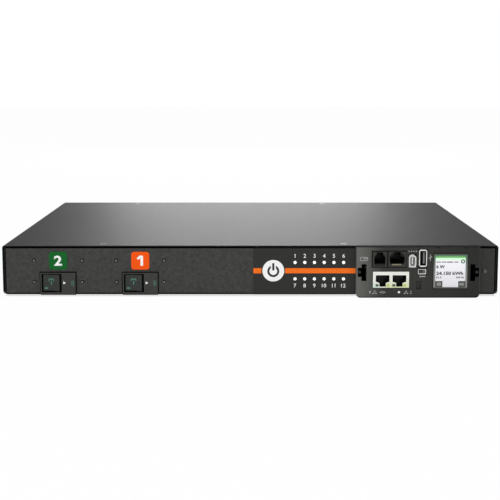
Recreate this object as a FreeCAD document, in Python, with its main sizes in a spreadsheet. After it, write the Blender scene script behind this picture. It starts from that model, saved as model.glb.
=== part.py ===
import FreeCAD, Part
import math
import os
from types import SimpleNamespace

import Sketcher

Vector = FreeCAD.Vector

# The rack power distribution unit stands on its own bottom face.
# The origin is the middle of that face, +X runs to the right seen from
# the front, +Y runs from the front panel to the rear wall and +Z is up.

DIMENSIONS = [
    # Sheet metal case
    ("chassis_width", 438.0, "width over the cover's two sides"),
    ("chassis_height", 44.0, "height over the cover"),
    ("chassis_depth", 235.0, "front panel face to rear wall face"),
    ("sheet_thickness", 1.2, "folded steel sheet"),
    ("sheet_clearance", 0.3, "gap between the tray and the cover"),
    ("bend_radius", 2.0, "outer radius of each fold"),
    ("lip_width", 12.0, "folded lip that takes the cover's screws"),
    ("return_width", 14.0, "tray's front return on each side"),
    ("panel_thickness", 1.5, "front panel sheet"),
    ("panel_side_gap", 1.2, "front panel edge to the cover's side"),
    ("panel_edge_gap", 0.4, "front panel edge to the cover and the floor line"),
    ("panel_stand", 0.6, "front panel face ahead of the cover's edge"),
    ("panel_corner", 2.0, "radius of the front panel's bottom corners"),
    ("cover_corner", 3.0, "cut at the foot of each cover side"),
    ("cover_screw_left", 87.8, "left row of cover screws in from the case's left side"),
    ("cover_screw_right", 135.8, "right row of cover screws in from the right side"),
    ("cover_screw_inset", 8.0, "cover screws from the cover's front and rear"),
    ("cover_screw_radius", 1.5, "cover screw shank"),
    ("cover_screw_sink", 1.0, "depth of the countersunk head"),
    ("cover_screw_length", 4.0, "cover screw shank"),
    ("hole_clearance", 0.1, "each screw shank in its hole"),
    ("ear_hole_radius", 2.0, "rack ear holes in the sides"),
    ("ear_hole_along", 32.0, "rack ear hole spacing along the depth"),
    ("ear_hole_up", 20.0, "rack ear hole spacing up the side"),
    ("ear_hole_front", 34.0, "middle of the ear holes from the front"),
    ("ear_hole_height", 22.0, "middle of the ear holes above the floor"),
    ("panel_screw_inset", 11.6, "round screw in from the case's right side"),
    ("panel_screw_height", 21.4, "height of that screw"),
    ("panel_screw_head", 2.4, "head radius of that screw"),
    ("panel_screw_radius", 1.5, "shank radius of that screw"),
    ("panel_screw_proud", 0.8, "head height of that screw"),
    ("panel_screw_length", 5.0, "shank of that screw"),
    ("head_crown", 0.75, "share of a round head's radius at its top"),
    # Circuit breakers
    ("breaker_inset", 49.3, "middle of breaker 2 in from the case's left side"),
    ("breaker_pitch", 72.6, "breaker 1 to breaker 2"),
    ("breaker_bottom", 0.3, "foot of the bezel"),
    ("bezel_width", 31.2, "breaker bezel"),
    ("bezel_height", 19.9, "breaker bezel"),
    ("bezel_proud", 2.4, "bezel face ahead of the panel"),
    ("bezel_round", 0.8, "softened edge of the bezel"),
    ("case_width", 29.4, "breaker case behind the bezel"),
    ("case_height", 17.2, "breaker case"),
    ("case_depth", 46.0, "breaker case"),
    ("case_clearance", 0.2, "breaker case in the panel's window"),
    ("rocker_shift", -5.5, "rocker from the middle of the bezel, across"),
    ("rocker_rise", 0.85, "rocker and case above the middle of the bezel"),
    ("window_width", 16.9, "rocker window"),
    ("window_height", 15.6, "rocker window"),
    ("window_depth", 9.5, "rocker well from the panel's face"),
    ("rocker_width", 14.6, "rocker across its pin"),
    ("rocker_height", 14.4, "rocker along its pin"),
    ("rocker_valley", 3.1, "rocker's valley ahead of its pin"),
    ("rocker_back", 3.4, "rocker's back behind its pin"),
    ("rocker_shoulder", 1.0, "where the rocker's flat sides end, behind its pin"),
    ("rocker_tilt", 6.0, "rocker's tilt each way in degrees"),
    ("pivot_back", 1.9, "rocker pin behind the panel's face"),
    ("pin_radius", 1.2, "rocker pin"),
    ("pin_clearance", 0.05, "running fit of the rocker pin"),
    ("pin_reach", 0.6, "rocker pin into each wall"),
    ("terminal_width", 6.3, "blade terminal"),
    ("terminal_thickness", 0.8, "blade terminal"),
    ("terminal_length", 8.0, "blade terminal"),
    ("terminal_pitch", 14.0, "between a breaker's two terminals"),
    ("breaker_screw_across", 42.3, "breaker screws, side to side"),
    ("breaker_screw_up", 19.3, "breaker screws, up and down"),
    ("breaker_screw_height", 21.15, "middle of the breaker screws"),
    ("small_screw_radius", 1.0, "breaker screw shank"),
    ("small_screw_head", 1.6, "breaker screw head radius"),
    ("small_screw_proud", 0.6, "breaker screw head height"),
    ("small_screw_length", 5.0, "breaker screw shank length"),
    ("bracket_thickness", 1.5, "plate behind the panel"),
    ("bracket_margin", 4.0, "plate past its screws"),
    # Number tags and status overlay
    ("tag_size", 15.9, "square number tag"),
    ("tag_height", 30.6, "middle of the number tags"),
    ("tag_corner", 2.6, "corner radius of a tag"),
    ("label_thickness", 0.3, "tags, stripe and disc"),
    ("overlay_width", 90.2, "dark overlay, left from the network module"),
    ("overlay_thickness", 0.4, "overlay film"),
    ("stripe_height", 4.7, "orange stripe"),
    ("stripe_gap", 1.0, "stripe to the disc"),
    ("disc_along", 17.6, "middle of the white disc from the overlay's left edge"),
    ("disc_height", 21.7, "middle of the disc and the stripe"),
    ("disc_radius", 9.6, "white disc"),
    ("light_along", 36.8, "first status light from the overlay's left edge"),
    ("light_pitch", 8.57, "between status lights"),
    ("light_upper", 29.1, "upper row of lights"),
    ("light_lower", 14.35, "lower row of lights"),
    ("light_radius", 1.35, "light pipe"),
    ("light_clearance", 0.1, "light pipe in its hole"),
    ("light_proud", 0.3, "light pipe ahead of the overlay"),
    ("status_board_gap", 3.0, "status board behind the panel"),
    ("status_board_edge", 5.0, "status board past its lights"),
    ("board_thickness", 1.6, "every circuit board"),
    ("spacer_radius", 2.5, "board spacers"),
    # Network module
    ("module_inset", 18.0, "the module in from the case's right side"),
    ("module_width", 108.1, "module faceplate"),
    ("module_bottom", -1.0, "the module hangs just below the case"),
    ("module_height", 45.4, "module faceplate"),
    ("module_proud", 7.0, "module face ahead of the panel"),
    ("module_wall", 2.0, "faceplate front wall"),
    ("module_rim", 1.2, "faceplate side walls"),
    ("module_corner", 3.5, "faceplate corner radius at the bottom"),
    ("module_round", 0.6, "faceplate front edge"),
    ("housing_side", 7.0, "module housing in from the faceplate's sides"),
    ("housing_bottom", 2.6, "underside of the module housing"),
    ("housing_top", 41.6, "top of the module housing"),
    ("housing_wall", 0.6, "module housing sheet"),
    ("housing_depth", 62.0, "module housing behind the panel"),
    ("housing_clearance", 0.4, "housing in the panel's opening"),
    ("module_board_top", 26.3, "upper face of the module's board"),
    ("module_board_gap", 1.0, "board behind the faceplate and beside the display"),
    ("port_clearance", 0.15, "each port in the faceplate"),
    ("port_proud", 0.2, "port faces ahead of the faceplate"),
    ("jack_depth", 15.0, "jack body"),
    ("jack_hollow", 12.0, "depth of each jack's opening"),
    ("jack_top", 40.8, "top of the two upper jacks"),
    ("sensor_left", 13.5, "sensor jack, from the module's left edge"),
    ("sensor_right", 26.95, "sensor jack, from the module's left edge"),
    ("serial_right", 43.45, "serial jack, from the module's left edge"),
    ("jack_gap", 0.3, "between the two upper jacks"),
    ("plug_width_narrow", 9.4, "six-way plug opening"),
    ("plug_width_wide", 12.0, "eight-way plug opening"),
    ("plug_height", 7.0, "plug opening"),
    ("plug_sill", 3.2, "opening above the jack's foot"),
    ("latch_width", 5.6, "latch notch"),
    ("latch_height", 3.2, "latch notch"),
    ("latch_slope", 1.2, "slanted shoulders beside the latch notch"),
    ("contact_width", 0.45, "contact wire"),
    ("contact_pitch", 1.02, "between contact wires"),
    ("contact_rise", 1.6, "contact wires into the opening"),
    ("contact_slope", 7.0, "length of the sloping contact wires"),
    ("narrow_ways", 6, "contacts in the six-way jack"),
    ("wide_ways", 8, "contacts in each eight-way jack"),
    ("ethernet_left", 14.5, "double network jack, from the module's left edge"),
    ("ethernet_right", 46.1, "double network jack, from the module's left edge"),
    ("ethernet_bottom", 8.2, "double network jack"),
    ("ethernet_top", 22.4, "double network jack"),
    ("ethernet_pitch", 14.7, "between the two network ports"),
    ("ethernet_sill", 3.05, "network openings below the jack's top"),
    ("shell_thickness", 0.4, "port shells"),
    ("ethernet_light_width", 2.6, "light in a network jack"),
    ("ethernet_light_height", 2.0, "light in a network jack"),
    ("ethernet_light_down", 1.0, "network lights below the openings"),
    ("ethernet_light_side", 0.7, "network lights beside the latch notch"),
    ("aux_left", 45.8, "round-topped port, from the module's left edge"),
    ("aux_width", 6.1, "round-topped port"),
    ("aux_bottom", 26.35, "round-topped port"),
    ("aux_height", 11.3, "round-topped port"),
    ("usb_left", 54.5, "upright flat port, from the module's left edge"),
    ("usb_width", 7.0, "upright flat port"),
    ("usb_bottom", 26.8, "upright flat port"),
    ("usb_height", 15.3, "upright flat port"),
    ("usb_lip", 1.1, "flared lip of the flat port"),
    ("usb_bevel", 1.2, "cut corners of that lip"),
    ("mini_left", 53.8, "small port, from the module's left edge"),
    ("mini_width", 7.0, "small port"),
    ("mini_bottom", 20.2, "small port"),
    ("mini_height", 4.5, "small port"),
    ("small_port_depth", 9.0, "depth of the three small ports"),
    ("tongue_recess", 1.0, "tongues behind the port faces"),
    ("tongue_thickness", 1.6, "tongues of the two tall ports"),
    ("tongue_thin", 0.9, "tongue of the small port"),
    ("aux_tongue_inset", 2.6, "tongue from the round-topped port's ends"),
    ("usb_tongue_inset", 1.6, "tongue from the flat port's ends"),
    ("mini_tongue_inset", 1.9, "tongue from the small port's ends"),
    ("reset_along", 54.6, "middle of the reset button from the module's left edge"),
    ("reset_height", 10.3, "middle of the reset button"),
    ("reset_slot_width", 4.1, "recess round the reset button"),
    ("reset_slot_height", 7.4, "recess round the reset button"),
    ("reset_width", 2.2, "reset button"),
    ("reset_length", 5.2, "reset button"),
    ("reset_recess", 1.2, "reset button behind the faceplate's face"),
    ("reset_travel", 0.8, "reset button stroke"),
    ("reset_stem", 7.0, "reset button front to back"),
    ("reset_clearance", 0.25, "reset button in its slot"),
    ("switch_gap", 0.2, "reset switch behind the button's stroke"),
    ("switch_depth", 4.0, "reset switch"),
    ("switch_width", 4.6, "reset switch"),
    ("display_left", 67.4, "display bezel, from the module's left edge"),
    ("display_right", 96.9, "display bezel, from the module's left edge"),
    ("display_bottom", 7.2, "display bezel"),
    ("display_top", 38.7, "display bezel"),
    ("display_frame", 1.5, "display bezel's border"),
    ("display_seat", 0.6, "bezel over the faceplate"),
    ("display_proud", 0.6, "bezel ahead of the faceplate"),
    ("display_thickness", 4.0, "display panel"),
    ("latch_slot_left", 4.5, "left retainer slot, from the module's left edge"),
    ("latch_slot_right", 103.8, "right retainer slot, from the module's left edge"),
    ("latch_slot_width", 4.1, "retainer slots"),
    ("latch_slot_bottom", 14.2, "retainer slots"),
    ("latch_slot_top", 29.0, "retainer slots"),
    ("lobe_width", 3.4, "screw lobe beside each slot"),
    ("lobe_height", 8.1, "screw lobe beside each slot"),
    ("lobe_middle", 21.9, "height of the screw lobes"),
    ("notch_first", 71.7, "first finger notch from the module's left edge"),
    ("notch_pitch", 23.7, "between the two finger notches"),
    ("notch_width", 2.8, "finger notches over the display"),
    ("notch_height", 1.0, "finger notches"),
    ("notch_down", 0.8, "middle of the finger notches below the module's top"),
    ("module_screw_radius", 1.1, "module screw shank"),
    ("module_screw_head", 1.5, "module screw head"),
    ("module_screw_proud", 0.6, "module screw head height"),
    ("module_screw_length", 7.0, "module screw shank length"),
    # Outlets and inlets in the rear wall
    ("rear_reserve", 138.0, "rear wall that isn't for outlets"),
    ("outlet_pitch", 24.6, "between outlets"),
    ("bank_inset", 12.2, "outlets of bank 2 in from the case's right side"),
    ("bank_gap", 6.4, "between the outlets of the two banks"),
    ("socket_height", 22.0, "middle of the outlets and inlets"),
    ("bank_border", 1.6, "bank flange past the outlets"),
    ("bank_flange_height", 34.0, "bank flange"),
    ("bank_flange_proud", 2.0, "bank flange ahead of the rear wall"),
    ("bank_body_height", 30.0, "bank body through the wall"),
    ("bank_body_depth", 22.0, "bank body behind the flange"),
    ("bank_clearance", 0.2, "bank body in the wall"),
    ("outlet_long", 27.4, "outlet channel, long side"),
    ("outlet_short", 19.8, "outlet channel, short side"),
    ("outlet_channel", 1.8, "outlet channel width"),
    ("outlet_bevel", 5.0, "cut corners of an outlet"),
    ("outlet_depth", 15.0, "outlet channel depth"),
    ("slot_long", 4.4, "outlet slot"),
    ("slot_short", 2.2, "outlet slot"),
    ("slot_spread", 14.0, "live slot to neutral slot"),
    ("slot_offset", 2.0, "slots each side of the middle"),
    ("contact_sink", 2.0, "outlet contacts behind the face"),
    ("inlet_inset", 30.0, "middle of inlet 2 in from the case's left side"),
    ("inlet_pitch", 51.0, "inlet 2 to inlet 1"),
    ("inlet_flange_width", 49.0, "inlet flange"),
    ("inlet_flange_height", 28.0, "inlet flange"),
    ("inlet_flange_proud", 3.0, "inlet flange"),
    ("inlet_body_width", 31.6, "inlet body"),
    ("inlet_body_height", 24.0, "inlet body"),
    ("inlet_body_depth", 24.0, "inlet body behind the flange"),
    ("inlet_wall", 1.8, "inlet shroud"),
    ("inlet_recess", 18.0, "depth of the inlet's recess"),
    ("inlet_screw_spread", 40.0, "between the inlet's screws"),
    ("inlet_screw_length", 8.0, "inlet screw shank"),
    ("inlet_corner", 2.0, "corner radius of the inlet's flange"),
    ("blade_width", 8.0, "inlet blade"),
    ("blade_thickness", 2.0, "inlet blade"),
    ("blade_reach", 17.0, "inlet blade in the recess"),
    ("blade_spread", 13.0, "between the two power blades"),
    ("blade_rise", 4.2, "blades above and below the middle"),
    ("earth_gap", 33.5, "earth stud from the middle of inlet 1"),
    ("earth_height", 12.0, "earth stud"),
    ("earth_radius", 2.0, "earth stud"),
    ("earth_length", 11.0, "earth stud ahead of the wall"),
    ("earth_head_height", 3.0, "earth stud head inside the wall"),
    ("earth_head_radius", 3.5, "earth stud head inside the wall"),
    ("nut_flats", 7.0, "earth nut across its flats"),
    ("nut_height", 3.2, "earth nut"),
    # Boards and wiring inside
    ("relay_width", 12.6, "outlet relay"),
    ("relay_height", 28.0, "outlet relay"),
    ("relay_depth", 15.6, "outlet relay"),
    ("tail_length", 3.0, "outlet contact tails to their board"),
    ("outlet_board_height", 34.0, "board behind the outlets"),
    ("main_board_gap", 35.1, "main board's left edge from the middle of breaker 1"),
    ("main_board_inset", 53.0, "main board in from the case's right side"),
    ("main_board_front", 7.5, "main board behind the module's housing"),
    ("breaker_room", 16.0, "behind a breaker case, when that reaches past the module's housing"),
    ("main_board_rear", 11.3, "main board ahead of the outlet relays"),
    ("main_board_height", 8.0, "underside of the main board"),
    ("spacer_inset", 7.0, "spacers in from the board's edge"),
    ("transfer_length", 30.0, "transfer relay"),
    ("transfer_width", 26.0, "transfer relay"),
    ("transfer_height", 21.0, "transfer relay"),
    ("transfer_pitch", 34.0, "between transfer relays, both ways"),
    ("transfer_columns", 2, "transfer relays across"),
    ("transfer_rows", 2, "transfer relays front to back"),
    ("transfer_along", 47.0, "first transfer relay from the main board's left edge"),
    ("transfer_front", 23.0, "first transfer relay from the main board's front edge"),
    ("supply_width", 36.0, "power supply block"),
    ("supply_length", 42.0, "power supply block"),
    ("supply_height", 22.0, "power supply block"),
    ("supply_inset", 26.0, "middle of the power supply in from the main board's right"),
    ("supply_rear", 26.0, "middle of the power supply from the main board's rear"),
    ("capacitor_radius", 6.0, "capacitor"),
    ("capacitor_height", 20.0, "capacitor"),
    ("capacitor_gap", 2.0, "capacitors ahead of the power supply"),
    ("sensor_length", 8.0, "current sensor along its wire"),
    ("sensor_width", 9.0, "current sensor"),
    ("sensor_height", 13.0, "current sensor"),
    ("sensor_clearance", 0.3, "wire in its current sensor"),
    ("block_width", 14.0, "terminal block, across"),
    ("block_depth", 18.0, "terminal block, front to back"),
    ("block_height", 14.0, "terminal block"),
    ("block_along", 22.0, "middle of the terminal blocks from the main board's left edge"),
    ("block_front", 10.0, "middle of terminal block 1 from the main board's front edge"),
    ("block_pitch", 30.0, "terminal block 1 to terminal block 2"),
    ("way_pitch", 10.0, "between the two ways of a block"),
    ("way_height", 7.4, "ways above the main board"),
    ("wire_radius", 1.5, "insulated wire"),
    ("wire_lead", 9.0, "straight wire before a terminal"),
    ("wire_gap", 0.3, "between the two earth leads at the stud"),
    ("live_turn", -10.0, "where the live wires straighten to their breakers"),
    ("live_low", 6.0, "live wires above the floor line"),
    ("neutral_reach", 22.0, "neutral wires' last bend from their block"),
    ("neutral_over", 22.0, "upper neutral wire at that bend"),
    ("neutral_under", 13.0, "lower neutral wire at that bend"),
    ("earth_step", 10.0, "each earth lead's crossing behind the last"),
    ("earth_rise", 2.6, "each earth lead's crossing above the last"),
    ("bus_width", 6.0, "copper bus bar"),
    ("bus_thickness", 1.5, "copper bus bar"),
    ("bus_spread", 9.0, "between the two bus bars"),
    ("bus_start", 16.0, "front of the bus bars from the main board's rear edge"),
    ("bus_height", 24.0, "underside of the bus bars' long legs"),
    ("ribbon_width", 20.0, "ribbon cable"),
    ("ribbon_thickness", 0.9, "ribbon cable"),
    ("ribbon_along", 47.1, "middle of the ribbon cable from the module's left edge"),
    ("ribbon_height", 20.0, "ribbon cable out of the module"),
    ("ribbon_landing", 4.5, "ribbon cable behind the main board's front edge"),
]


class Size:
    """A length that knows its formula on the sheet and its value."""

    def __init__(self, formula, value):
        self.formula = formula
        self.value = float(value)

    def __float__(self):
        return self.value

    def __add__(self, other):
        other = size(other)
        return Size(f"({self.formula} + {other.formula})", self.value + other.value)

    def __sub__(self, other):
        other = size(other)
        return Size(f"({self.formula} - {other.formula})", self.value - other.value)

    def __mul__(self, other):
        other = size(other)
        return Size(f"({self.formula} * {other.formula})", self.value * other.value)

    def __truediv__(self, other):
        other = size(other)
        return Size(f"({self.formula} / {other.formula})", self.value / other.value)

    def floor(self):
        """The whole number below this one."""
        return Size(f"floor({self.formula})", math.floor(self.value))

    def __neg__(self):
        return Size(f"(0 - {self.formula})", -self.value)

    __radd__ = __add__
    __rmul__ = __mul__

    def __rsub__(self, other):
        return size(other) - self


def size(thing):
    """A number becomes a Size, and a Size stays as it is."""
    if isinstance(thing, Size):
        return thing
    return Size(f"({float(thing)})", thing)


def larger(first, second):
    """The larger of two sizes."""
    return Size(f"max({first.formula}; {second.formula})", max(first.value, second.value))


def make_sheet(doc):
    """The spreadsheet of driving dimensions, and a name for each cell."""
    sheet = doc.addObject("Spreadsheet::Sheet", "sizes")
    cells = {}
    for row, (alias, number, meaning) in enumerate(DIMENSIONS, 1):
        sheet.set(f"A{row}", meaning)
        sheet.set(f"B{row}", str(number))
        sheet.setAlias(f"B{row}", alias)
    doc.recompute()
    for alias, number, meaning in DIMENSIONS:
        cells[alias] = Size(f"sizes.{alias}", getattr(sheet, alias))
    return SimpleNamespace(**cells)


doc = FreeCAD.newDocument("rack_power_unit")
D = make_sheet(doc)
nodes = []

# Places that several pieces share

HALF_WIDTH = D.chassis_width / 2
FRONT = -D.chassis_depth / 2
REAR = D.chassis_depth / 2
PANEL_BACK = FRONT + D.panel_thickness
COVER_FRONT = FRONT + D.panel_stand
COVER_UNDERSIDE = D.chassis_height - D.sheet_thickness
TRAY_SIDE = HALF_WIDTH - D.sheet_thickness - D.sheet_clearance
TRAY_TOP = COVER_UNDERSIDE - D.sheet_clearance
WALL_FRONT = REAR - D.sheet_thickness
PANEL_SIDE = HALF_WIDTH - D.sheet_thickness - D.panel_side_gap
PANEL_BOTTOM = D.panel_edge_gap
PANEL_TOP = COVER_UNDERSIDE - D.panel_edge_gap
COVER_SCREW_ROWS = (COVER_FRONT + D.cover_screw_inset, REAR - D.cover_screw_inset)
COVER_SCREW_COLUMNS = (-HALF_WIDTH + D.cover_screw_left, HALF_WIDTH - D.cover_screw_right)
PANEL_SCREW = (HALF_WIDTH - D.panel_screw_inset, D.panel_screw_height)
BREAKERS = (-HALF_WIDTH + D.breaker_inset + D.breaker_pitch, -HALF_WIDTH + D.breaker_inset)
BEZEL_MIDDLE = D.breaker_bottom + D.bezel_height / 2
BREAKER_MIDDLE = BEZEL_MIDDLE + D.rocker_rise
PIVOT = FRONT + D.pivot_back
MODULE_RIGHT = HALF_WIDTH - D.module_inset
MODULE_LEFT = MODULE_RIGHT - D.module_width
OVERLAY_FACE = FRONT - D.overlay_thickness
OVERLAY_LEFT = MODULE_LEFT - D.overlay_width
DISC_MIDDLE = (OVERLAY_LEFT + D.disc_along, D.disc_height)
MODULE_FACE = FRONT - D.module_proud
MODULE_BACK_OF_FACE = MODULE_FACE + D.module_wall
MODULE_TOP = D.module_bottom + D.module_height
PORT_FACE = MODULE_FACE - D.port_proud
BOARD_UNDERSIDE = D.module_board_top - D.board_thickness
JACK_FLOOR = D.module_board_top
RESET_PLACE = MODULE_LEFT + D.reset_along
OUTLET_COUNT = ((D.chassis_width - D.rear_reserve) / 2 / D.outlet_pitch).floor()  # in each bank
BANK_WIDTH = OUTLET_COUNT * D.outlet_pitch
BANK_TWO = HALF_WIDTH - D.bank_inset - BANK_WIDTH / 2
BANK_ONE = BANK_TWO - BANK_WIDTH - D.bank_gap
INLETS = (-HALF_WIDTH + D.inlet_inset + D.inlet_pitch, -HALF_WIDTH + D.inlet_inset)
EARTH_PLACE = INLETS[0] + D.earth_gap
OUTLET_BOARD_REAR = REAR + D.bank_flange_proud - D.bank_body_depth - D.tail_length
OUTLET_BOARD_FRONT = OUTLET_BOARD_REAR - D.board_thickness
MAIN_LEFT = BREAKERS[0] + D.main_board_gap
MAIN_RIGHT = HALF_WIDTH - D.main_board_inset
MAIN_FRONT = FRONT + larger(D.housing_depth, D.case_depth + D.breaker_room) + D.main_board_front
MAIN_REAR = OUTLET_BOARD_FRONT - D.relay_depth - D.main_board_rear
MAIN_BOARD_TOP = D.main_board_height + D.board_thickness
BLOCK_PLACE = MAIN_LEFT + D.block_along
BLOCK_ROWS = (MAIN_FRONT + D.block_front, MAIN_FRONT + D.block_front + D.block_pitch)
WAY_HEIGHT = MAIN_BOARD_TOP + D.way_height


# Tools for making features that follow the sheet

NUT_SIDES = 6  # nuts, spacers and wires have as many flats
PAST = 1.0  # a cutting tool runs this far past what it cuts
TOLERANCE = 0.01  # two lengths this close are the same
BEND_SHARE = 0.45  # the share of the shorter run that a wire's bend takes
MITRED = 1  # how a sweep turns its corners
BEVEL_LOSS = 2 - math.sqrt(2)  # a 45 degree cut corner gets this much shorter for each unit of inset


def bind(item, prop, length):
    """Tie one property to its formula on the sheet."""
    item.setExpression(prop, size(length).formula)


def move_to(item, x, y, z):
    """Tie an object's place to the sheet."""
    for letter, place in zip("xyz", (x, y, z)):
        bind(item, f"Placement.Base.{letter}", place)


def keep(item, label):
    """Name a finished sub-part and list it for the export."""
    item.Label = label
    nodes.append(item)
    return item


def block(name, x, y, z):
    """A box between a low and a high place along X, Y and Z."""
    item = doc.addObject("Part::Box", name)
    for prop, (low, high) in zip(("Length", "Width", "Height"), (x, y, z)):
        bind(item, prop, size(high) - low)
    move_to(item, x[0], y[0], z[0])
    return item


TURNS = {
    "x": FreeCAD.Rotation(Vector(0, 1, 0), 90),
    "y": FreeCAD.Rotation(Vector(1, 0, 0), -90),
    "z": FreeCAD.Rotation(),
}


def rod(name, along, start, radius, length):
    """A round bar from its start, along one axis."""
    item = doc.addObject("Part::Cylinder", name)
    bind(item, "Radius", radius)
    bind(item, "Height", length)
    item.Placement = FreeCAD.Placement(Vector(), TURNS[along])
    move_to(item, *start)
    return item


def hexagon_bar(name, along, start, radius, length):
    """A six-sided bar from its start, by the radius over its corners."""
    item = doc.addObject("Part::Prism", name)
    item.Polygon = NUT_SIDES
    bind(item, "Circumradius", radius)
    bind(item, "Height", length)
    item.Placement = FreeCAD.Placement(Vector(), TURNS[along])
    move_to(item, *start)
    return item


def join(name, pieces):
    """Several overlapping features as one solid."""
    item = doc.addObject("Part::MultiFuse", name)
    item.Shapes = list(pieces)
    return item


def cut(name, base, tools):
    """A feature with other features taken out of it."""
    item = doc.addObject("Part::Cut", name)
    item.Base = base
    item.Tool = tools[0] if len(tools) == 1 else join(f"{name}_tools", tools)
    return item


def group(label, pieces):
    """Separate solids of one kind that share a node."""
    item = doc.addObject("Part::Compound", label)
    item.Links = list(pieces)
    return keep(item, label)


def new_body(label):
    """A part design body for one sub-part."""
    return keep(doc.addObject("PartDesign::Body", label), label)


def plane(part, role):
    """One of a body's own origin planes."""
    for item in part.Origin.OriginFeatures:
        if item.Role == role:
            return item
    raise ValueError(role)


def draw(part, name, role, place, outlines):
    """A sketch on an origin plane, moved along its normal, with every point tied to the sheet.

    An outline is a list of corner points, or a middle point and a radius."""
    sketch = part.newObject("Sketcher::SketchObject", name)
    sketch.AttachmentSupport = [(plane(part, role), "")]
    sketch.MapMode = "FlatFace"
    offset = -size(place) if role == "XZ_Plane" else size(place)
    bind(sketch, "AttachmentOffset.Base.z", offset)
    for outline in outlines:
        if isinstance(outline, tuple):
            add_circle(sketch, *outline)
        else:
            add_corners(sketch, outline)
    return sketch


def pin_point(sketch, geometry, end, point):
    """Fix a sketch point at its two distances from the origin."""
    for kind, distance in zip(("DistanceX", "DistanceY"), point):
        distance = size(distance)
        if abs(distance.value) < TOLERANCE / 2:
            axis = -2 if kind == "DistanceX" else -1
            sketch.addConstraint(Sketcher.Constraint("PointOnObject", geometry, end, axis))
            continue
        rule = Sketcher.Constraint(kind, -1, 1, geometry, end, distance.value)
        index = sketch.addConstraint(rule)
        bind(sketch, f"Constraints[{index}]", distance)


def add_corners(sketch, points):
    """A closed outline of straight edges."""
    first = sketch.GeometryCount
    count = len(points)
    places = [Vector(float(size(x)), float(size(y)), 0) for x, y in points]
    for index in range(count):
        sketch.addGeometry(Part.LineSegment(places[index], places[(index + 1) % count]))
    for index in range(count):
        after = first + (index + 1) % count
        sketch.addConstraint(Sketcher.Constraint("Coincident", first + index, 2, after, 1))
    for index, point in enumerate(points):
        pin_point(sketch, first + index, 1, point)


def add_circle(sketch, middle, radius):
    """A circle tied to the sheet."""
    centre = Vector(float(size(middle[0])), float(size(middle[1])), 0)
    index = sketch.addGeometry(Part.Circle(centre, Vector(0, 0, 1), float(size(radius))))
    pin_point(sketch, index, 3, middle)
    rule = sketch.addConstraint(Sketcher.Constraint("Radius", index, float(size(radius))))
    bind(sketch, f"Constraints[{rule}]", radius)


def pad(part, name, role, place, depth, outlines):
    """A pad from a place towards + along the plane's row axis."""
    sketch = draw(part, f"{name}_sketch", role, place, outlines)
    feature = part.newObject("PartDesign::Pad", name)
    feature.Profile = sketch
    bind(feature, "Length", depth)
    feature.Reversed = role == "XZ_Plane"
    return feature


def pocket(part, name, role, place, depth, outlines):
    """A pocket from a place towards + along the plane's row axis."""
    sketch = draw(part, f"{name}_sketch", role, place, outlines)
    feature = part.newObject("PartDesign::Pocket", name)
    feature.Profile = sketch
    bind(feature, "Length", depth)
    feature.Reversed = role != "XZ_Plane"
    return feature


def soften(part, name, radius, wanted):
    """A fillet on the edges of a body that a test picks."""
    doc.recompute()
    base = part.Tip
    edges = [f"Edge{i}" for i, edge in enumerate(base.Shape.Edges, 1) if wanted(edge)]
    feature = part.newObject("PartDesign::Fillet", name)
    feature.Base = (base, edges)
    bind(feature, "Radius", radius)
    return feature


def bevel(part, name, length, wanted):
    """A chamfer on the edges of a body that a test picks."""
    doc.recompute()
    base = part.Tip
    edges = [f"Edge{i}" for i, edge in enumerate(base.Shape.Edges, 1) if wanted(edge)]
    feature = part.newObject("PartDesign::Chamfer", name)
    feature.Base = (base, edges)
    bind(feature, "Size", length)
    return feature


def rectangle(x, z):
    """Four corners between two pairs of places."""
    return [(x[0], z[0]), (x[1], z[0]), (x[1], z[1]), (x[0], z[1])]


def around(middle, width):
    """The low and high place of a width about a middle."""
    half = size(width) / 2
    return (middle - half, middle + half)


def grown(pair, margin):
    """A pair of places, each moved outwards."""
    return (pair[0] - margin, pair[1] + margin)


def near(number, length):
    """Whether a measured number is at a sheet length."""
    return abs(number - float(size(length))) < TOLERANCE


def runs(edge, letter):
    """Whether an edge is straight and lies along one axis."""
    if edge.Curve.TypeId != "Part::GeomLine":
        return False
    return abs(getattr(edge.Curve.Direction, letter)) > 1 - TOLERANCE


def solid(name, shape):
    """A sub-part's shape that is made by code."""
    item = doc.addObject("Part::Feature", name)
    item.Shape = shape
    return item


def turned_solid(points, axis_place, axis_direction):
    """A solid turned about an axis from radius and distance points."""
    corners = [Vector(radius, 0, height) for radius, height in points]
    face = Part.Face(Part.makePolygon(corners + corners[:1]))
    shape = face.revolve(Vector(), Vector(0, 0, 1), 360)
    turn = FreeCAD.Rotation(Vector(0, 0, 1), axis_direction)
    shape.Placement = FreeCAD.Placement(axis_place, turn)
    return shape


def screw(place, direction, head, height, shank, length, countersunk=False):
    """A screw with its head's top at the place and its shank along the direction."""
    place = Vector(*[float(number) for number in place])
    head, height, shank, length = [float(number) for number in (head, height, shank, length)]
    end = height + length
    if countersunk:
        outline = [(0, 0), (head, 0), (shank, height)]
    else:
        outline = [(0, 0), (head * float(D.head_crown), 0), (head, height), (shank, height)]
    outline += [(shank, end), (0, end)]
    return turned_solid(outline, place, direction)


# Sheet metal case


def ear_holes():
    """The four rack ear holes of one side, in depth and height."""
    middle = FRONT + D.ear_hole_front
    for y in around(middle, D.ear_hole_along):
        for z in around(D.ear_hole_height, D.ear_hole_up):
            yield ((y, z), D.ear_hole_radius)


def breaker_window(place):
    """The case's window in the panel."""
    x = grown(around(place, D.case_width), D.case_clearance)
    z = grown(around(BREAKER_MIDDLE, D.case_height), D.case_clearance)
    return rectangle(x, z)


def housing_outline():
    """The network module's housing, across and up."""
    x = (MODULE_LEFT + D.housing_side, MODULE_RIGHT - D.housing_side)
    return x, (D.housing_bottom, D.housing_top)


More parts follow.
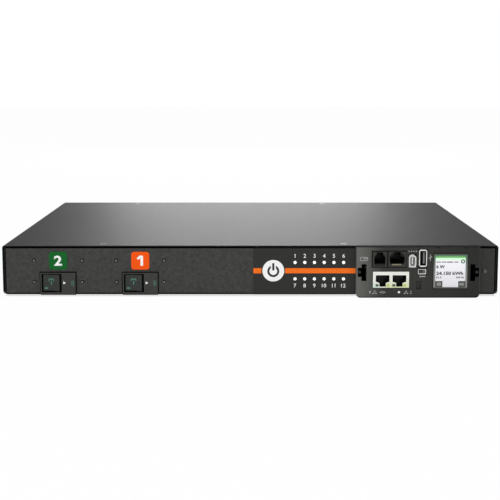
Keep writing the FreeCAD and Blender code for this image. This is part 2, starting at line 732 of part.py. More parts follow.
def inlet_window(place):
    """The inlet's body in the rear wall."""
    x = grown(around(place, D.inlet_body_width), D.bank_clearance)
    z = grown(around(D.socket_height, D.inlet_body_height), D.bank_clearance)
    return rectangle(x, z)


def inlet_screw_places():
    """Every inlet screw, across the rear wall."""
    for place in INLETS:
        yield from around(place, D.inlet_screw_spread)


def bank_window(place):
    """A bank's body in the rear wall."""
    x = grown(around(place, BANK_WIDTH), D.bank_clearance)
    z = grown(around(D.socket_height, D.bank_body_height), D.bank_clearance)
    return rectangle(x, z)


def make_tray():
    """The folded tray: floor, two sides, front returns and the rear wall with its lip."""
    tray = new_body("chassis_tray")
    inner = TRAY_SIDE - D.sheet_thickness
    floor = [(-TRAY_SIDE, 0), (TRAY_SIDE, 0), (TRAY_SIDE, TRAY_TOP), (inner, TRAY_TOP)]
    floor += [(inner, D.sheet_thickness), (-inner, D.sheet_thickness)]
    floor += [(-inner, TRAY_TOP), (-TRAY_SIDE, TRAY_TOP)]
    pad(tray, "tray_fold", "XZ_Plane", PANEL_BACK, REAR - PANEL_BACK, [floor])
    wall = [rectangle((-TRAY_SIDE, TRAY_SIDE), (0, TRAY_TOP))]
    wall += [inlet_window(place) for place in INLETS]
    wall += [bank_window(place) for place in (BANK_ONE, BANK_TWO)]
    hole = D.small_screw_radius + D.hole_clearance
    wall += [((x, D.socket_height), hole) for x in inlet_screw_places()]
    wall.append(((EARTH_PLACE, D.earth_height), D.earth_radius))
    pad(tray, "tray_wall", "XZ_Plane", WALL_FRONT, D.sheet_thickness, wall)
    lip = rectangle((-TRAY_SIDE, TRAY_SIDE), (REAR - D.lip_width, REAR))
    lip_underside = TRAY_TOP - D.sheet_thickness
    pad(tray, "tray_lip", "XY_Plane", lip_underside, D.sheet_thickness, [lip])
    left = rectangle((-TRAY_SIDE, -TRAY_SIDE + D.return_width), (0, PANEL_TOP))
    right = rectangle((TRAY_SIDE - D.return_width, TRAY_SIDE), (0, PANEL_TOP))
    pad(tray, "tray_returns", "XZ_Plane", PANEL_BACK, D.sheet_thickness, [left, right])
    shank = D.panel_screw_radius + D.hole_clearance
    pocket(tray, "tray_screw_hole", "XZ_Plane", PANEL_BACK, D.sheet_thickness, [(PANEL_SCREW, shank)])
    cover_hole = D.cover_screw_radius + D.hole_clearance
    lip_holes = [((x, COVER_SCREW_ROWS[1]), cover_hole) for x in COVER_SCREW_COLUMNS]
    pocket(tray, "tray_lip_holes", "XY_Plane", lip_underside, D.sheet_thickness, lip_holes)
    pocket(tray, "tray_ear_holes", "YZ_Plane", -HALF_WIDTH, D.chassis_width, list(ear_holes()))
    soften(tray, "tray_bends", D.bend_radius, is_tray_bend)


def is_tray_bend(edge):
    """The two long outer folds of the tray's floor."""
    box = edge.BoundBox
    long = runs(edge, "y") and near(edge.Length, REAR - PANEL_BACK)
    return long and near(box.ZMin, 0) and near(abs(box.XMin), TRAY_SIDE)


def make_front_panel():
    """The front panel with its windows, folded back along the top for the cover's screws."""
    panel = new_body("front_panel")
    face = [rectangle((-PANEL_SIDE, PANEL_SIDE), (PANEL_BOTTOM, PANEL_TOP))]
    face += [breaker_window(place) for place in BREAKERS]
    face += light_windows()
    hole = D.small_screw_radius + D.hole_clearance
    face += [((x, z), hole) for x, z in breaker_screw_places()]
    hole = D.module_screw_radius + D.hole_clearance
    face += [((x, z), hole) for x, z in lobe_middles()]
    shank = D.panel_screw_radius + D.hole_clearance
    face.append((PANEL_SCREW, shank))
    pad(panel, "panel_face", "XZ_Plane", FRONT, D.panel_thickness, face)
    lip_side = PANEL_SIDE - D.return_width
    lip = rectangle((-lip_side, lip_side), (FRONT, FRONT + D.lip_width))
    lip_underside = PANEL_TOP - D.sheet_thickness
    pad(panel, "panel_lip", "XY_Plane", lip_underside, D.sheet_thickness, [lip])
    cover_hole = D.cover_screw_radius + D.hole_clearance
    lip_holes = [((x, COVER_SCREW_ROWS[0]), cover_hole) for x in COVER_SCREW_COLUMNS]
    pocket(panel, "panel_lip_holes", "XY_Plane", lip_underside, D.sheet_thickness, lip_holes)
    x, z = housing_outline()
    bay = rectangle(grown(x, D.housing_clearance), (z[0] - D.housing_clearance, PANEL_TOP))
    pocket(panel, "panel_bay", "XZ_Plane", FRONT, D.lip_width, [bay])
    soften(panel, "panel_corners", D.panel_corner, is_panel_corner)


def is_panel_corner(edge):
    """The two bottom corners of the front panel."""
    box = edge.BoundBox
    return runs(edge, "y") and near(box.ZMin, PANEL_BOTTOM) and near(abs(box.XMin), PANEL_SIDE)


def make_cover():
    """The cover: a top and two sides, folded from one sheet."""
    cover = new_body("top_cover")
    inner = HALF_WIDTH - D.sheet_thickness
    section = [(-HALF_WIDTH, 0), (-inner, 0), (-inner, COVER_UNDERSIDE)]
    section += [(inner, COVER_UNDERSIDE), (inner, 0), (HALF_WIDTH, 0)]
    section += [(HALF_WIDTH, D.chassis_height), (-HALF_WIDTH, D.chassis_height)]
    pad(cover, "cover_fold", "XZ_Plane", COVER_FRONT, REAR - COVER_FRONT, [section])
    hole = D.cover_screw_radius + D.hole_clearance
    holes = [((x, y), hole) for x in COVER_SCREW_COLUMNS for y in COVER_SCREW_ROWS]
    pocket(cover, "cover_holes", "XY_Plane", COVER_UNDERSIDE, D.sheet_thickness, holes)
    pocket(cover, "cover_ear_holes", "YZ_Plane", -HALF_WIDTH, D.chassis_width, list(ear_holes()))
    bevel(cover, "cover_sinks", D.cover_screw_sink, is_cover_hole)
    bevel(cover, "cover_feet", D.cover_corner, is_cover_foot)
    soften(cover, "cover_bends", D.bend_radius, is_cover_bend)


def is_cover_hole(edge):
    """The upper rims of the cover's screw holes."""
    round_edge = edge.Curve.TypeId == "Part::GeomCircle"
    return round_edge and near(edge.BoundBox.ZMin, D.chassis_height)


def is_cover_foot(edge):
    """The front bottom corner of each cover side."""
    box = edge.BoundBox
    return runs(edge, "x") and near(box.ZMin, 0) and near(box.YMin, COVER_FRONT)


def is_cover_bend(edge):
    """The two long upper folds of the cover."""
    box = edge.BoundBox
    side = near(abs(box.XMin), HALF_WIDTH) and near(box.ZMin, D.chassis_height)
    return runs(edge, "y") and side


def make_cover_screws():
    """Countersunk screws, level with the cover."""
    head = D.cover_screw_radius + D.cover_screw_sink
    sizes = (head, D.cover_screw_sink, D.cover_screw_radius, D.cover_screw_length)
    screws = []
    for x in COVER_SCREW_COLUMNS:
        for y in COVER_SCREW_ROWS:
            screws.append(screw((x, y, D.chassis_height), Vector(0, 0, -1), *sizes, countersunk=True))
    keep(solid("cover_screws", Part.makeCompound(screws)), "cover_screws")


def make_panel_screw():
    """The round-headed screw at the right end of the panel."""
    place = (PANEL_SCREW[0], FRONT - D.panel_screw_proud, PANEL_SCREW[1])
    sizes = (D.panel_screw_head, D.panel_screw_proud, D.panel_screw_radius, D.panel_screw_length)
    shape = screw(place, Vector(0, 1, 0), *sizes)
    keep(solid("panel_screw", shape), "panel_screw")


# Circuit breakers


def breaker_pattern(place):
    """The four screws round one breaker, across and up the panel."""
    for x in around(place, D.breaker_screw_across):
        for z in around(D.breaker_screw_height, D.breaker_screw_up):
            yield x, z


def breaker_screw_places():
    """All eight breaker screws."""
    for place in BREAKERS:
        yield from breaker_pattern(place)


def make_breaker(number, place):
    """One breaker: its bezel, its case and its rocker."""
    rocker_place = place + D.rocker_shift
    window_x = around(rocker_place, D.window_width)
    window_z = around(BREAKER_MIDDLE, D.window_height)
    bezel = new_body(f"breaker_{number}_bezel")
    outer = rectangle(around(place, D.bezel_width), around(BEZEL_MIDDLE, D.bezel_height))
    face = FRONT - D.bezel_proud
    outlines = [outer, rectangle(window_x, window_z)]
    pad(bezel, f"bezel_{number}_pad", "XZ_Plane", face, D.bezel_proud, outlines)
    soften(bezel, f"bezel_{number}_edges", D.bezel_round, lambda edge: is_bezel_edge(edge, place))
    case = new_body(f"breaker_{number}_case")
    case_x = around(place, D.case_width)
    case_z = around(BREAKER_MIDDLE, D.case_height)
    pad(case, f"case_{number}_pad", "XZ_Plane", FRONT, D.case_depth, [rectangle(case_x, case_z)])
    well = [rectangle(window_x, window_z)]
    pocket(case, f"case_{number}_well", "XZ_Plane", FRONT, D.window_depth, well)
    bore = [((rocker_place, PIVOT), D.pin_radius + D.pin_clearance)]
    pocket(case, f"case_{number}_bore", "XY_Plane", case_z[0], D.case_height, bore)
    make_rocker(number, rocker_place)


def is_bezel_edge(edge, place):
    """The outer front edges of a bezel and its four corners."""
    box = edge.BoundBox
    half = D.bezel_width / 2
    at_side = near(box.XMin, place - half) or near(box.XMax, place + half)
    top = D.breaker_bottom + D.bezel_height
    at_end = near(box.ZMin, D.breaker_bottom) or near(box.ZMax, top)
    at_front = near(box.YMin, FRONT - D.bezel_proud) and near(box.YMax, FRONT - D.bezel_proud)
    return at_front and (at_side or at_end)


def make_rocker(number, place):
    """A rocker with a shallow valley, its back round about the pin, tilted to its rest position."""
    half = float(D.rocker_width) / 2
    valley = float(D.rocker_valley)
    back = float(D.rocker_back)
    tilt = math.radians(float(D.rocker_tilt))
    lift = half * math.tan(tilt)
    middle = float(BREAKER_MIDDLE)
    low = middle - float(D.rocker_height) / 2
    left = Vector(-half, -valley - lift, low)
    bottom = Vector(0, -valley, low)
    right = Vector(half, -valley - lift, low)
    edges = [Part.makeLine(left, bottom), Part.makeLine(bottom, right)]
    shoulder = float(D.rocker_shoulder)
    edges.append(Part.makeLine(right, Vector(half, shoulder, low)))
    arc = Part.Arc(Vector(half, shoulder, low), Vector(0, back, low), Vector(-half, shoulder, low))
    edges.append(arc.toShape())
    edges.append(Part.makeLine(Vector(-half, shoulder, low), left))
    face = Part.Face(Part.Wire(edges))
    shape = face.extrude(Vector(0, 0, float(D.rocker_height)))
    wall_gap = (float(D.window_height) - float(D.rocker_height)) / 2
    pin_length = float(D.rocker_height) + 2 * (wall_gap + float(D.pin_reach))
    pin = Part.makeCylinder(float(D.pin_radius), pin_length, Vector(0, 0, middle - pin_length / 2))
    shape = shape.fuse(pin)
    item = solid(f"breaker_{number}_rocker", shape.removeSplitter())
    turn = FreeCAD.Rotation(Vector(0, 0, 1), -float(D.rocker_tilt))
    item.Placement = FreeCAD.Placement(Vector(float(place), float(PIVOT), 0), turn)
    keep(item, f"breaker_{number}_rocker")


def make_bracket(number, place):
    """The plate behind the panel that a breaker's screws pull against."""
    x = grown(around(place, D.breaker_screw_across), D.bracket_margin)
    z = grown(around(D.breaker_screw_height, D.breaker_screw_up), D.bracket_margin)
    plate_item = block(f"bracket_{number}_plate", x, (PANEL_BACK, PANEL_BACK + D.bracket_thickness), z)
    past = (PANEL_BACK - PAST, PANEL_BACK + D.bracket_thickness + PAST)
    gap_x = grown(around(place, D.case_width), D.case_clearance)
    gap_top = BREAKER_MIDDLE + D.case_height / 2 + D.case_clearance
    tools = [block(f"bracket_{number}_gap", gap_x, past, (z[0] - PAST, gap_top))]
    for index, (hole_x, hole_z) in enumerate(breaker_pattern(place)):
        tools.append(rod(f"bracket_{number}_hole_{index}", "y", (hole_x, past[0], hole_z),
                         D.small_screw_radius, past[1] - past[0]))
    return cut(f"bracket_{number}", plate_item, tools)


def terminal_places():
    """Each breaker's two terminals, across the case."""
    for place in BREAKERS:
        yield from around(place, D.terminal_pitch)


def make_breaker_fittings():
    """What both breakers share: brackets, screws and blade terminals."""
    brackets = [make_bracket(number, place) for number, place in enumerate(BREAKERS, 1)]
    group("breaker_brackets", brackets)
    screws = []
    sizes = (D.small_screw_head, D.small_screw_proud, D.small_screw_radius, D.small_screw_length)
    for x, z in breaker_screw_places():
        screws.append(screw((x, FRONT - D.small_screw_proud, z), Vector(0, 1, 0), *sizes))
    keep(solid("breaker_screws", Part.makeCompound(screws)), "breaker_screws")
    blades = []
    case_rear = FRONT + D.case_depth
    for index, place in enumerate(terminal_places()):
        x = around(place, D.terminal_thickness)
        z = around(BREAKER_MIDDLE, D.terminal_width)
        blades.append(block(f"terminal_{index}", x, (case_rear, case_rear + D.terminal_length), z))
    group("breaker_terminals", blades)


# Number tags and the status overlay


def light_places():
    """The two rows of status lights, one light for each outlet."""
    for z in (D.light_upper, D.light_lower):
        for index in range(int(float(OUTLET_COUNT))):
            yield OVERLAY_LEFT + D.light_along + index * D.light_pitch, z


def light_row():
    """The first and the last status light of a row."""
    first = OVERLAY_LEFT + D.light_along
    return first, first + (OUTLET_COUNT - 1) * D.light_pitch


def light_windows():
    """The panel's window behind each row of lights."""
    margin = D.light_radius + D.light_clearance
    return [rectangle(grown(light_row(), margin), around(z, 2 * margin))
            for z in (D.light_upper, D.light_lower)]


def make_tag(number, place):
    """A rounded square label above a breaker."""
    tag = new_body(f"tag_{number}")
    outline = rectangle(around(place, D.tag_size), around(D.tag_height, D.tag_size))
    pad(tag, f"tag_{number}_pad", "XZ_Plane", FRONT - D.label_thickness, D.label_thickness, [outline])
    soften(tag, f"tag_{number}_corners", D.tag_corner, lambda edge: runs(edge, "y"))


def make_overlay():
    """The overlay film, its stripe, its disc, the light pipes and their board."""
    overlay = new_body("status_overlay")
    film = [rectangle((OVERLAY_LEFT, MODULE_LEFT), (PANEL_BOTTOM, PANEL_TOP))]
    film += [((x, z), D.light_radius + D.light_clearance) for x, z in light_places()]
    pad(overlay, "overlay_film", "XZ_Plane", OVERLAY_FACE, D.overlay_thickness, film)
    face = OVERLAY_FACE - D.label_thickness
    y = (face, OVERLAY_FACE)
    z = around(D.disc_height, D.stripe_height)
    bar = block("stripe_bar", (OVERLAY_LEFT, MODULE_LEFT), y, z)
    start = (DISC_MIDDLE[0], face - PAST, DISC_MIDDLE[1])
    ring = rod("stripe_ring", "y", start, D.disc_radius + D.stripe_gap, D.label_thickness + 2 * PAST)
    keep(cut("status_stripe", bar, [ring]), "status_stripe")
    middle = (DISC_MIDDLE[0], face, DISC_MIDDLE[1])
    keep(rod("emblem_disc", "y", middle, D.disc_radius, D.label_thickness), "emblem_disc")
    board_front = PANEL_BACK + D.status_board_gap
    pipes = []
    for index, (x, z) in enumerate(light_places()):
        start = (x, OVERLAY_FACE - D.light_proud, z)
        length = board_front - OVERLAY_FACE + D.light_proud
        pipes.append(rod(f"light_{index}", "y", start, D.light_radius, length))
    group("status_lights", pipes)
    x = grown(light_row(), D.status_board_edge)
    z = grown((D.light_lower, D.light_upper), D.status_board_edge)
    y = (board_front, board_front + D.board_thickness)
    keep(block("status_board", x, y, z), "status_board")
    spacers = []
    for index, place in enumerate(grown(x, -D.spacer_radius)):
        start = (place, PANEL_BACK, D.disc_height)
        name = f"status_spacer_{index}"
        spacers.append(hexagon_bar(name, "y", start, D.spacer_radius, D.status_board_gap))
    return spacers


# Network module


def upper_jack(label, x, plug_width):
    """A modular jack with its latch notch at the top."""
    jack = new_body(label)
    z = (JACK_FLOOR, D.jack_top)
    pad(jack, f"{label}_pad", "XZ_Plane", PORT_FACE, D.jack_depth, [rectangle(x, z)])
    middle = (x[0] + x[1]) / 2
    sill = JACK_FLOOR + D.plug_sill
    pocket(jack, f"{label}_opening", "XZ_Plane", PORT_FACE, D.jack_hollow,
           [latch_outline(middle, plug_width, sill, 1)])
    return middle, sill


def latch_outline(middle, plug_width, sill, up):
    """A plug opening that slants in to a latch notch on its far side."""
    a = middle - plug_width / 2
    b = middle + plug_width / 2
    c = middle - D.latch_width / 2
    d = middle + D.latch_width / 2
    roof = sill + up * D.plug_height
    notch = roof + up * D.latch_height
    shoulder = roof - up * D.latch_slope
    slot = [(d, roof), (d, notch), (c, notch), (c, roof)]
    return [(a, sill), (b, sill), (b, shoulder)] + slot + [(a, shoulder)]


def contact_wires(middle, ways, sill, up):
    """The sloping contact wires of one jack."""
    wires = []
    deep = PORT_FACE + D.jack_hollow
    count = int(float(ways))
    for index in range(count):
        x = middle + (index - (count - 1) / 2) * D.contact_pitch
        low = sill + up * D.contact_rise
        corners = [(deep - D.contact_slope, sill), (deep, sill), (deep, low)]
        points = [Vector(float(x - D.contact_width / 2), float(y), float(z)) for y, z in corners]
        face = Part.Face(Part.makePolygon(points + points[:1]))
        wires.append(face.extrude(Vector(float(D.contact_width), 0, 0)))
    return wires


def on_module(*lengths):
    """Places along the front from lengths that start at the module's left edge."""
    return tuple(MODULE_LEFT + length for length in lengths)


def ethernet_middles():
    """The middles of the two network ports."""
    left, right = on_module(D.ethernet_left, D.ethernet_right)
    return around((left + right) / 2, D.ethernet_pitch)


def make_ethernet():
    """The double network jack: a metal shell round two moulded ports, and four lights."""
    x = on_module(D.ethernet_left, D.ethernet_right)
    z = (D.ethernet_bottom, D.ethernet_top)
    inner_x = grown(x, -D.shell_thickness)
    inner_z = grown(z, -D.shell_thickness)
    sill = D.ethernet_top - D.ethernet_sill
    top_z = (D.ethernet_top - D.shell_thickness, BOARD_UNDERSIDE)
    shoulder = MODULE_BACK_OF_FACE + D.port_clearance
    back = PORT_FACE + D.jack_depth
    shell = new_body("ethernet_shell")
    openings = [latch_outline(middle, D.plug_width_wide, sill, -1) for middle in ethernet_middles()]
    pad(shell, "shell_block", "XZ_Plane", PORT_FACE, D.jack_depth, [rectangle(x, z)])
    pad(shell, "shell_shoulder", "XZ_Plane", shoulder, back - shoulder, [rectangle(x, top_z)])
    hollow_y = PORT_FACE + D.shell_thickness
    pocket(shell, "shell_hollow", "XZ_Plane", hollow_y, back - hollow_y, [rectangle(inner_x, inner_z)])
    pocket(shell, "shell_openings", "XZ_Plane", PORT_FACE, D.shell_thickness, openings)
    lights = []
    for middle in ethernet_middles():
        for side in (-1, 1):
            beside = D.latch_width / 2 + D.ethernet_light_side
            place = middle + side * (beside + D.ethernet_light_width / 2)
            top = sill - D.plug_height - D.ethernet_light_down
            zs = (top - D.ethernet_light_height, top)
            ys = (PORT_FACE - D.port_proud, PORT_FACE + D.shell_thickness)
            lights.append((around(place, D.ethernet_light_width), ys, zs))
    windows = [rectangle(xs, zs) for xs, ys, zs in lights]
    pocket(shell, "shell_windows", "XZ_Plane", PORT_FACE, D.shell_thickness, windows)
    pieces = [block(f"ethernet_light_{i}", *light) for i, light in enumerate(lights)]
    group("ethernet_lights", pieces)
    insert = new_body("ethernet_inserts")
    face = PORT_FACE + D.shell_thickness
    depth = D.jack_depth - D.shell_thickness
    pad(insert, "insert_pad", "XZ_Plane", face, depth, [rectangle(inner_x, inner_z)])
    hollow = D.jack_hollow - D.shell_thickness
    pocket(insert, "insert_openings", "XZ_Plane", face, hollow, openings)
    return sill


def make_jacks():
    """The two upper jacks, the double network jack and all their contacts."""
    sensor_x = on_module(D.sensor_left, D.sensor_right)
    serial_x = on_module(D.sensor_right + D.jack_gap, D.serial_right)
    wires = []
    middle, sill = upper_jack("sensor_jack", sensor_x, D.plug_width_narrow)
    wires += contact_wires(middle, D.narrow_ways, sill, 1)
    middle, sill = upper_jack("serial_jack", serial_x, D.plug_width_wide)
    wires += contact_wires(middle, D.wide_ways, sill, 1)
    sill = make_ethernet()
    for middle in ethernet_middles():
        wires += contact_wires(middle, D.wide_ways, sill, -1)
    keep(solid("jack_contacts", Part.makeCompound(wires)), "jack_contacts")


def port_shell(label, x, z):
    """A thin metal shell with a closed back."""
    inner = rectangle(grown(x, -D.shell_thickness), grown(z, -D.shell_thickness))
    shell = new_body(label)
    depth = D.small_port_depth
    pad(shell, f"{label}_pad", "XZ_Plane", PORT_FACE, depth, [rectangle(x, z)])
    pocket(shell, f"{label}_hollow", "XZ_Plane", PORT_FACE, depth - D.shell_thickness, [inner])
    return shell


def arched_bar(name, x, z, front, depth):
    """An upright bar whose top is round."""
    radius = (x[1] - x[0]) / 2
    foot = block(f"{name}_foot", x, (front, front + depth), (z[0], z[1] - radius))
    start = ((x[0] + x[1]) / 2, front, z[1] - radius)
    return join(name, [foot, rod(f"{name}_crown", "y", start, radius, depth)])


def arched_shell(label, x, z):
    """A thin metal shell with a round top and a closed back."""
    depth = D.small_port_depth
    outer = arched_bar(f"{label}_outside", x, z, PORT_FACE, depth)
    inner_x = grown(x, -D.shell_thickness)
    inner_z = grown(z, -D.shell_thickness)
    reach = depth - D.shell_thickness + PAST
    inner = arched_bar(f"{label}_inside", inner_x, inner_z, PORT_FACE - PAST, reach)
    keep(cut(label, outer, [inner]), label)


def small_port(name):
    """A small port's outline, across and up."""
    left = MODULE_LEFT + getattr(D, f"{name}_left")
    bottom = getattr(D, f"{name}_bottom")
    return (left, left + getattr(D, f"{name}_width")), (bottom, bottom + getattr(D, f"{name}_height"))


def display_outline():
    """The display bezel, across and up."""
    return on_module(D.display_left, D.display_right), (D.display_bottom, D.display_top)


def bevelled(x, z, length):
    """A rectangle with its four corners cut off."""
    return [(x[0] + length, z[0]), (x[1] - length, z[0]), (x[1], z[0] + length), (x[1], z[1] - length),
            (x[1] - length, z[1]), (x[0] + length, z[1]), (x[0], z[1] - length), (x[0], z[0] + length)]


def make_small_ports():
    """The three small ports and their tongues."""
    tongues = []
    depth = (PORT_FACE + D.tongue_recess, PORT_FACE + D.small_port_depth - D.shell_thickness)
    x, z = small_port("aux")
    arched_shell("aux_port_shell", x, z)
    middle = (x[0] + x[1]) / 2
    tongue_z = grown(z, -D.aux_tongue_inset)
    tongues.append(block("aux_tongue", around(middle, D.tongue_thickness), depth, tongue_z))
    x, z = small_port("usb")
    body_x = grown(x, -D.usb_lip)
    body_z = grown(z, -D.usb_lip)
    shell = port_shell("usb_port_shell", body_x, body_z)
    mouth = rectangle(grown(body_x, -D.shell_thickness), grown(body_z, -D.shell_thickness))
    lip = bevelled(x, z, D.usb_bevel)
    pad(shell, "usb_flare", "XZ_Plane", PORT_FACE, D.shell_thickness, [lip, mouth])
    middle = (x[0] + x[1]) / 2
    tongue_x = (middle, middle + D.tongue_thickness)
    tongues.append(block("usb_tongue", tongue_x, depth, grown(body_z, -D.usb_tongue_inset)))
    x, z = small_port("mini")
    port_shell("mini_port_shell", x, z)
    middle = (z[0] + z[1]) / 2
    tongue_x = grown(x, -D.mini_tongue_inset)
    tongues.append(block("mini_tongue", tongue_x, depth, around(middle, D.tongue_thin)))
    group("port_tongues", tongues)


def retainer_cuts():
    """The two retainer slots with their screw lobes, as cut outlines."""
    slot_z = (D.latch_slot_bottom, D.latch_slot_top)
    left = on_module(D.latch_slot_left, D.latch_slot_left + D.latch_slot_width)
    right = on_module(D.latch_slot_right - D.latch_slot_width, D.latch_slot_right)
    lobe_z = around(D.lobe_middle, D.lobe_height)
    slots = [(left, slot_z), (right, slot_z)]
    lobes = [((left[0] - D.lobe_width, left[0]), lobe_z), ((right[1], right[1] + D.lobe_width), lobe_z)]
    return slots, lobes


def lobe_middles():
    """The module's two retaining screws."""
    slots, lobes = retainer_cuts()
    return [((x[0] + x[1]) / 2, D.lobe_middle) for x, z in lobes]


def finger_notches():
    """The two shallow notches over the display."""
    z = around(MODULE_TOP - D.notch_down, D.notch_height)
    for place in on_module(D.notch_first, D.notch_first + D.notch_pitch):
        yield rectangle(around(place, D.notch_width), z)


def make_faceplate():
    """The moulded faceplate with every port's cut-out."""
    plate = new_body("module_faceplate")
    x = (MODULE_LEFT, MODULE_RIGHT)
    z = (D.module_bottom, MODULE_TOP)
    pad(plate, "faceplate_pad", "XZ_Plane", MODULE_FACE, D.module_proud, [rectangle(x, z)])
    soften(plate, "faceplate_corners", D.module_corner, is_faceplate_corner)
    soften(plate, "faceplate_edges", D.module_round, is_faceplate_edge)
    hollow = rectangle(grown(x, -D.module_rim), grown(z, -D.module_rim))
    pocket(plate, "faceplate_hollow", "XZ_Plane", MODULE_BACK_OF_FACE,
           D.module_proud - D.module_wall, [hollow])
    fit = D.port_clearance
    jacks = (on_module(D.sensor_left, D.serial_right), (JACK_FLOOR, D.jack_top))
    network = (on_module(D.ethernet_left, D.ethernet_right), (D.ethernet_bottom, D.ethernet_top))
    ports = [jacks, network] + [small_port(name) for name in ("aux", "usb", "mini")]
    outlines = [rectangle(grown(px, fit), grown(pz, fit)) for px, pz in ports]
    outlines.append(rectangle(*[grown(pair, -D.display_seat) for pair in display_outline()]))
    button_x = grown(around(RESET_PLACE, D.reset_width), D.reset_clearance)
    button_z = grown(around(D.reset_height, D.reset_length), D.reset_clearance)
    outlines.append(rectangle(button_x, button_z))
    slots, lobes = retainer_cuts()
    outlines += [rectangle(sx, sz) for sx, sz in slots]
    pocket(plate, "faceplate_ports", "XZ_Plane", MODULE_FACE, D.module_wall, outlines)
    recesses = [rectangle(lx, lz) for lx, lz in lobes] + list(finger_notches())
    well_x = around(RESET_PLACE, D.reset_slot_width)
    recesses.append(rectangle(well_x, around(D.reset_height, D.reset_slot_height)))
    pocket(plate, "faceplate_recesses", "XZ_Plane", MODULE_FACE, D.module_wall / 2, recesses)
    hole = D.module_screw_radius + D.hole_clearance
    screw_holes = [((hx, hz), hole) for hx, hz in lobe_middles()]
    pocket(plate, "faceplate_screw_holes", "XZ_Plane", MODULE_FACE, D.module_wall, screw_holes)


def is_faceplate_corner(edge):
    """The two bottom corners of the faceplate."""
    return runs(edge, "y") and near(edge.BoundBox.ZMin, D.module_bottom)


def is_faceplate_edge(edge):
    """The outline of the faceplate's front."""
    box = edge.BoundBox
    return near(box.YMin, MODULE_FACE) and near(box.YMax, MODULE_FACE)


def make_housing():
    """The module's folded housing, open at the front, and its board."""
    x, z = housing_outline()
    housing = new_body("module_housing")
    pad(housing, "housing_pad", "XZ_Plane", FRONT, D.housing_depth, [rectangle(x, z)])
    inner = rectangle(grown(x, -D.housing_wall), grown(z, -D.housing_wall))
    pocket(housing, "housing_hollow", "XZ_Plane", FRONT, D.housing_depth - D.housing_wall, [inner])
    board_x = (x[0] + D.housing_wall, display_outline()[0][0] - D.module_board_gap)
    y = (MODULE_BACK_OF_FACE + D.module_board_gap, FRONT + D.housing_depth - D.housing_wall)
    keep(block("module_board", board_x, y, (BOARD_UNDERSIDE, D.module_board_top)), "module_board")


def make_display():
    """The display's bezel and its panel."""
    bezel = new_body("display_bezel")
    x, z = display_outline()
    frame = [rectangle(x, z), rectangle(grown(x, -D.display_frame), grown(z, -D.display_frame))]
    pad(bezel, "display_frame_pad", "XZ_Plane", MODULE_FACE - D.display_proud, D.display_proud, frame)
    inner_x = grown(x, -D.display_seat)
    inner_z = grown(z, -D.display_seat)
    y = (MODULE_FACE, MODULE_FACE + D.display_thickness)
    keep(block("display_panel", inner_x, y, inner_z), "display_panel")


def make_reset():
    """The recessed reset button and the switch behind it."""
    face = MODULE_FACE + D.reset_recess
    x = around(RESET_PLACE, D.reset_width)
    z = around(D.reset_height, D.reset_length)
    keep(block("reset_button", x, (face, face + D.reset_stem), z), "reset_button")
    back = face + D.reset_stem + D.reset_travel + D.switch_gap
    switch_z = (D.reset_height - D.reset_length / 2, BOARD_UNDERSIDE)
    switch_x = around(RESET_PLACE, D.switch_width)
    keep(block("reset_switch", switch_x, (back, back + D.switch_depth), switch_z), "reset_switch")


def make_module_screws():
    """The two screws in the retainers' lobes."""
    screws = []
    top = MODULE_FACE + D.module_wall / 2 - D.module_screw_proud
    sizes = (D.module_screw_head, D.module_screw_proud, D.module_screw_radius, D.module_screw_length)
    for x, z in lobe_middles():
        screws.append(screw((x, top, z), Vector(0, 1, 0), *sizes))
    keep(solid("module_screws", Part.makeCompound(screws)), "module_screws")


# Rear wall


def outlet_outline(x, inset):
    """An outlet's outline, upright, with its two cut corners on the right."""
    long = D.outlet_long / 2 - inset
    short = D.outlet_short / 2 - inset
    cut_off = D.outlet_bevel - inset * BEVEL_LOSS
    low = D.socket_height - long
    high = D.socket_height + long
    return [(x - short, low), (x + short - cut_off, low), (x + short, low + cut_off),
            (x + short, high - cut_off), (x + short - cut_off, high), (x - short, high)]


def slot_places(x):
    """The middles of an outlet's three slots."""
    half = D.slot_spread / 2
    return [(x - D.slot_offset, D.socket_height - half), (x - D.slot_offset, D.socket_height + half),
            (x + D.slot_offset, D.socket_height)]


def first_outlet(place):
    """The first outlet of a bank."""
    return place - (BANK_WIDTH - D.outlet_pitch) / 2


def make_bank(number, place):
    """A moulded bank of outlets, each with a channel round its block and three slots."""
    bank = new_body(f"outlet_bank_{number}")
    face = REAR + D.bank_flange_proud
    body_x = around(place, BANK_WIDTH)
    flange = rectangle(grown(body_x, D.bank_border), around(D.socket_height, D.bank_flange_height))
    pad(bank, f"bank_{number}_flange", "XZ_Plane", REAR, D.bank_flange_proud, [flange])
    body = rectangle(body_x, around(D.socket_height, D.bank_body_height))
    back = face - D.bank_body_depth
    pad(bank, f"bank_{number}_body", "XZ_Plane", back, D.bank_body_depth, [body])
    first = first_outlet(place)
    ring = [outlet_outline(first, 0), outlet_outline(first, D.outlet_channel)]
    floor = face - D.outlet_depth
    channel = pocket(bank, f"bank_{number}_channel", "XZ_Plane", floor, D.outlet_depth, ring)
    slots = []
    for x, z in slot_places(first):
        slots.append(rectangle(around(x, D.slot_short), around(z, D.slot_long)))
    holes = pocket(bank, f"bank_{number}_slots", "XZ_Plane", back, D.bank_body_depth, slots)
    pattern = bank.newObject("PartDesign::LinearPattern", f"bank_{number}_pattern")
    pattern.Originals = [channel, holes]
    pattern.Direction = (channel.Profile[0], ["H_Axis"])
    bind(pattern, "Length", BANK_WIDTH - D.outlet_pitch)
    bind(pattern, "Occurrences", OUTLET_COUNT)
    bank.Tip = pattern
    return first


def make_outlets():
    """Both outlet banks and their contacts."""
    contacts = []
    for number, place in enumerate((BANK_ONE, BANK_TWO), 1):
        first = make_bank(number, place)
        for index in range(int(float(OUTLET_COUNT))):
            for x, z in slot_places(first + index * D.outlet_pitch):
                contacts.append(contact_block(x, z))
    keep(solid("outlet_contacts", Part.makeCompound(contacts)), "outlet_contacts")


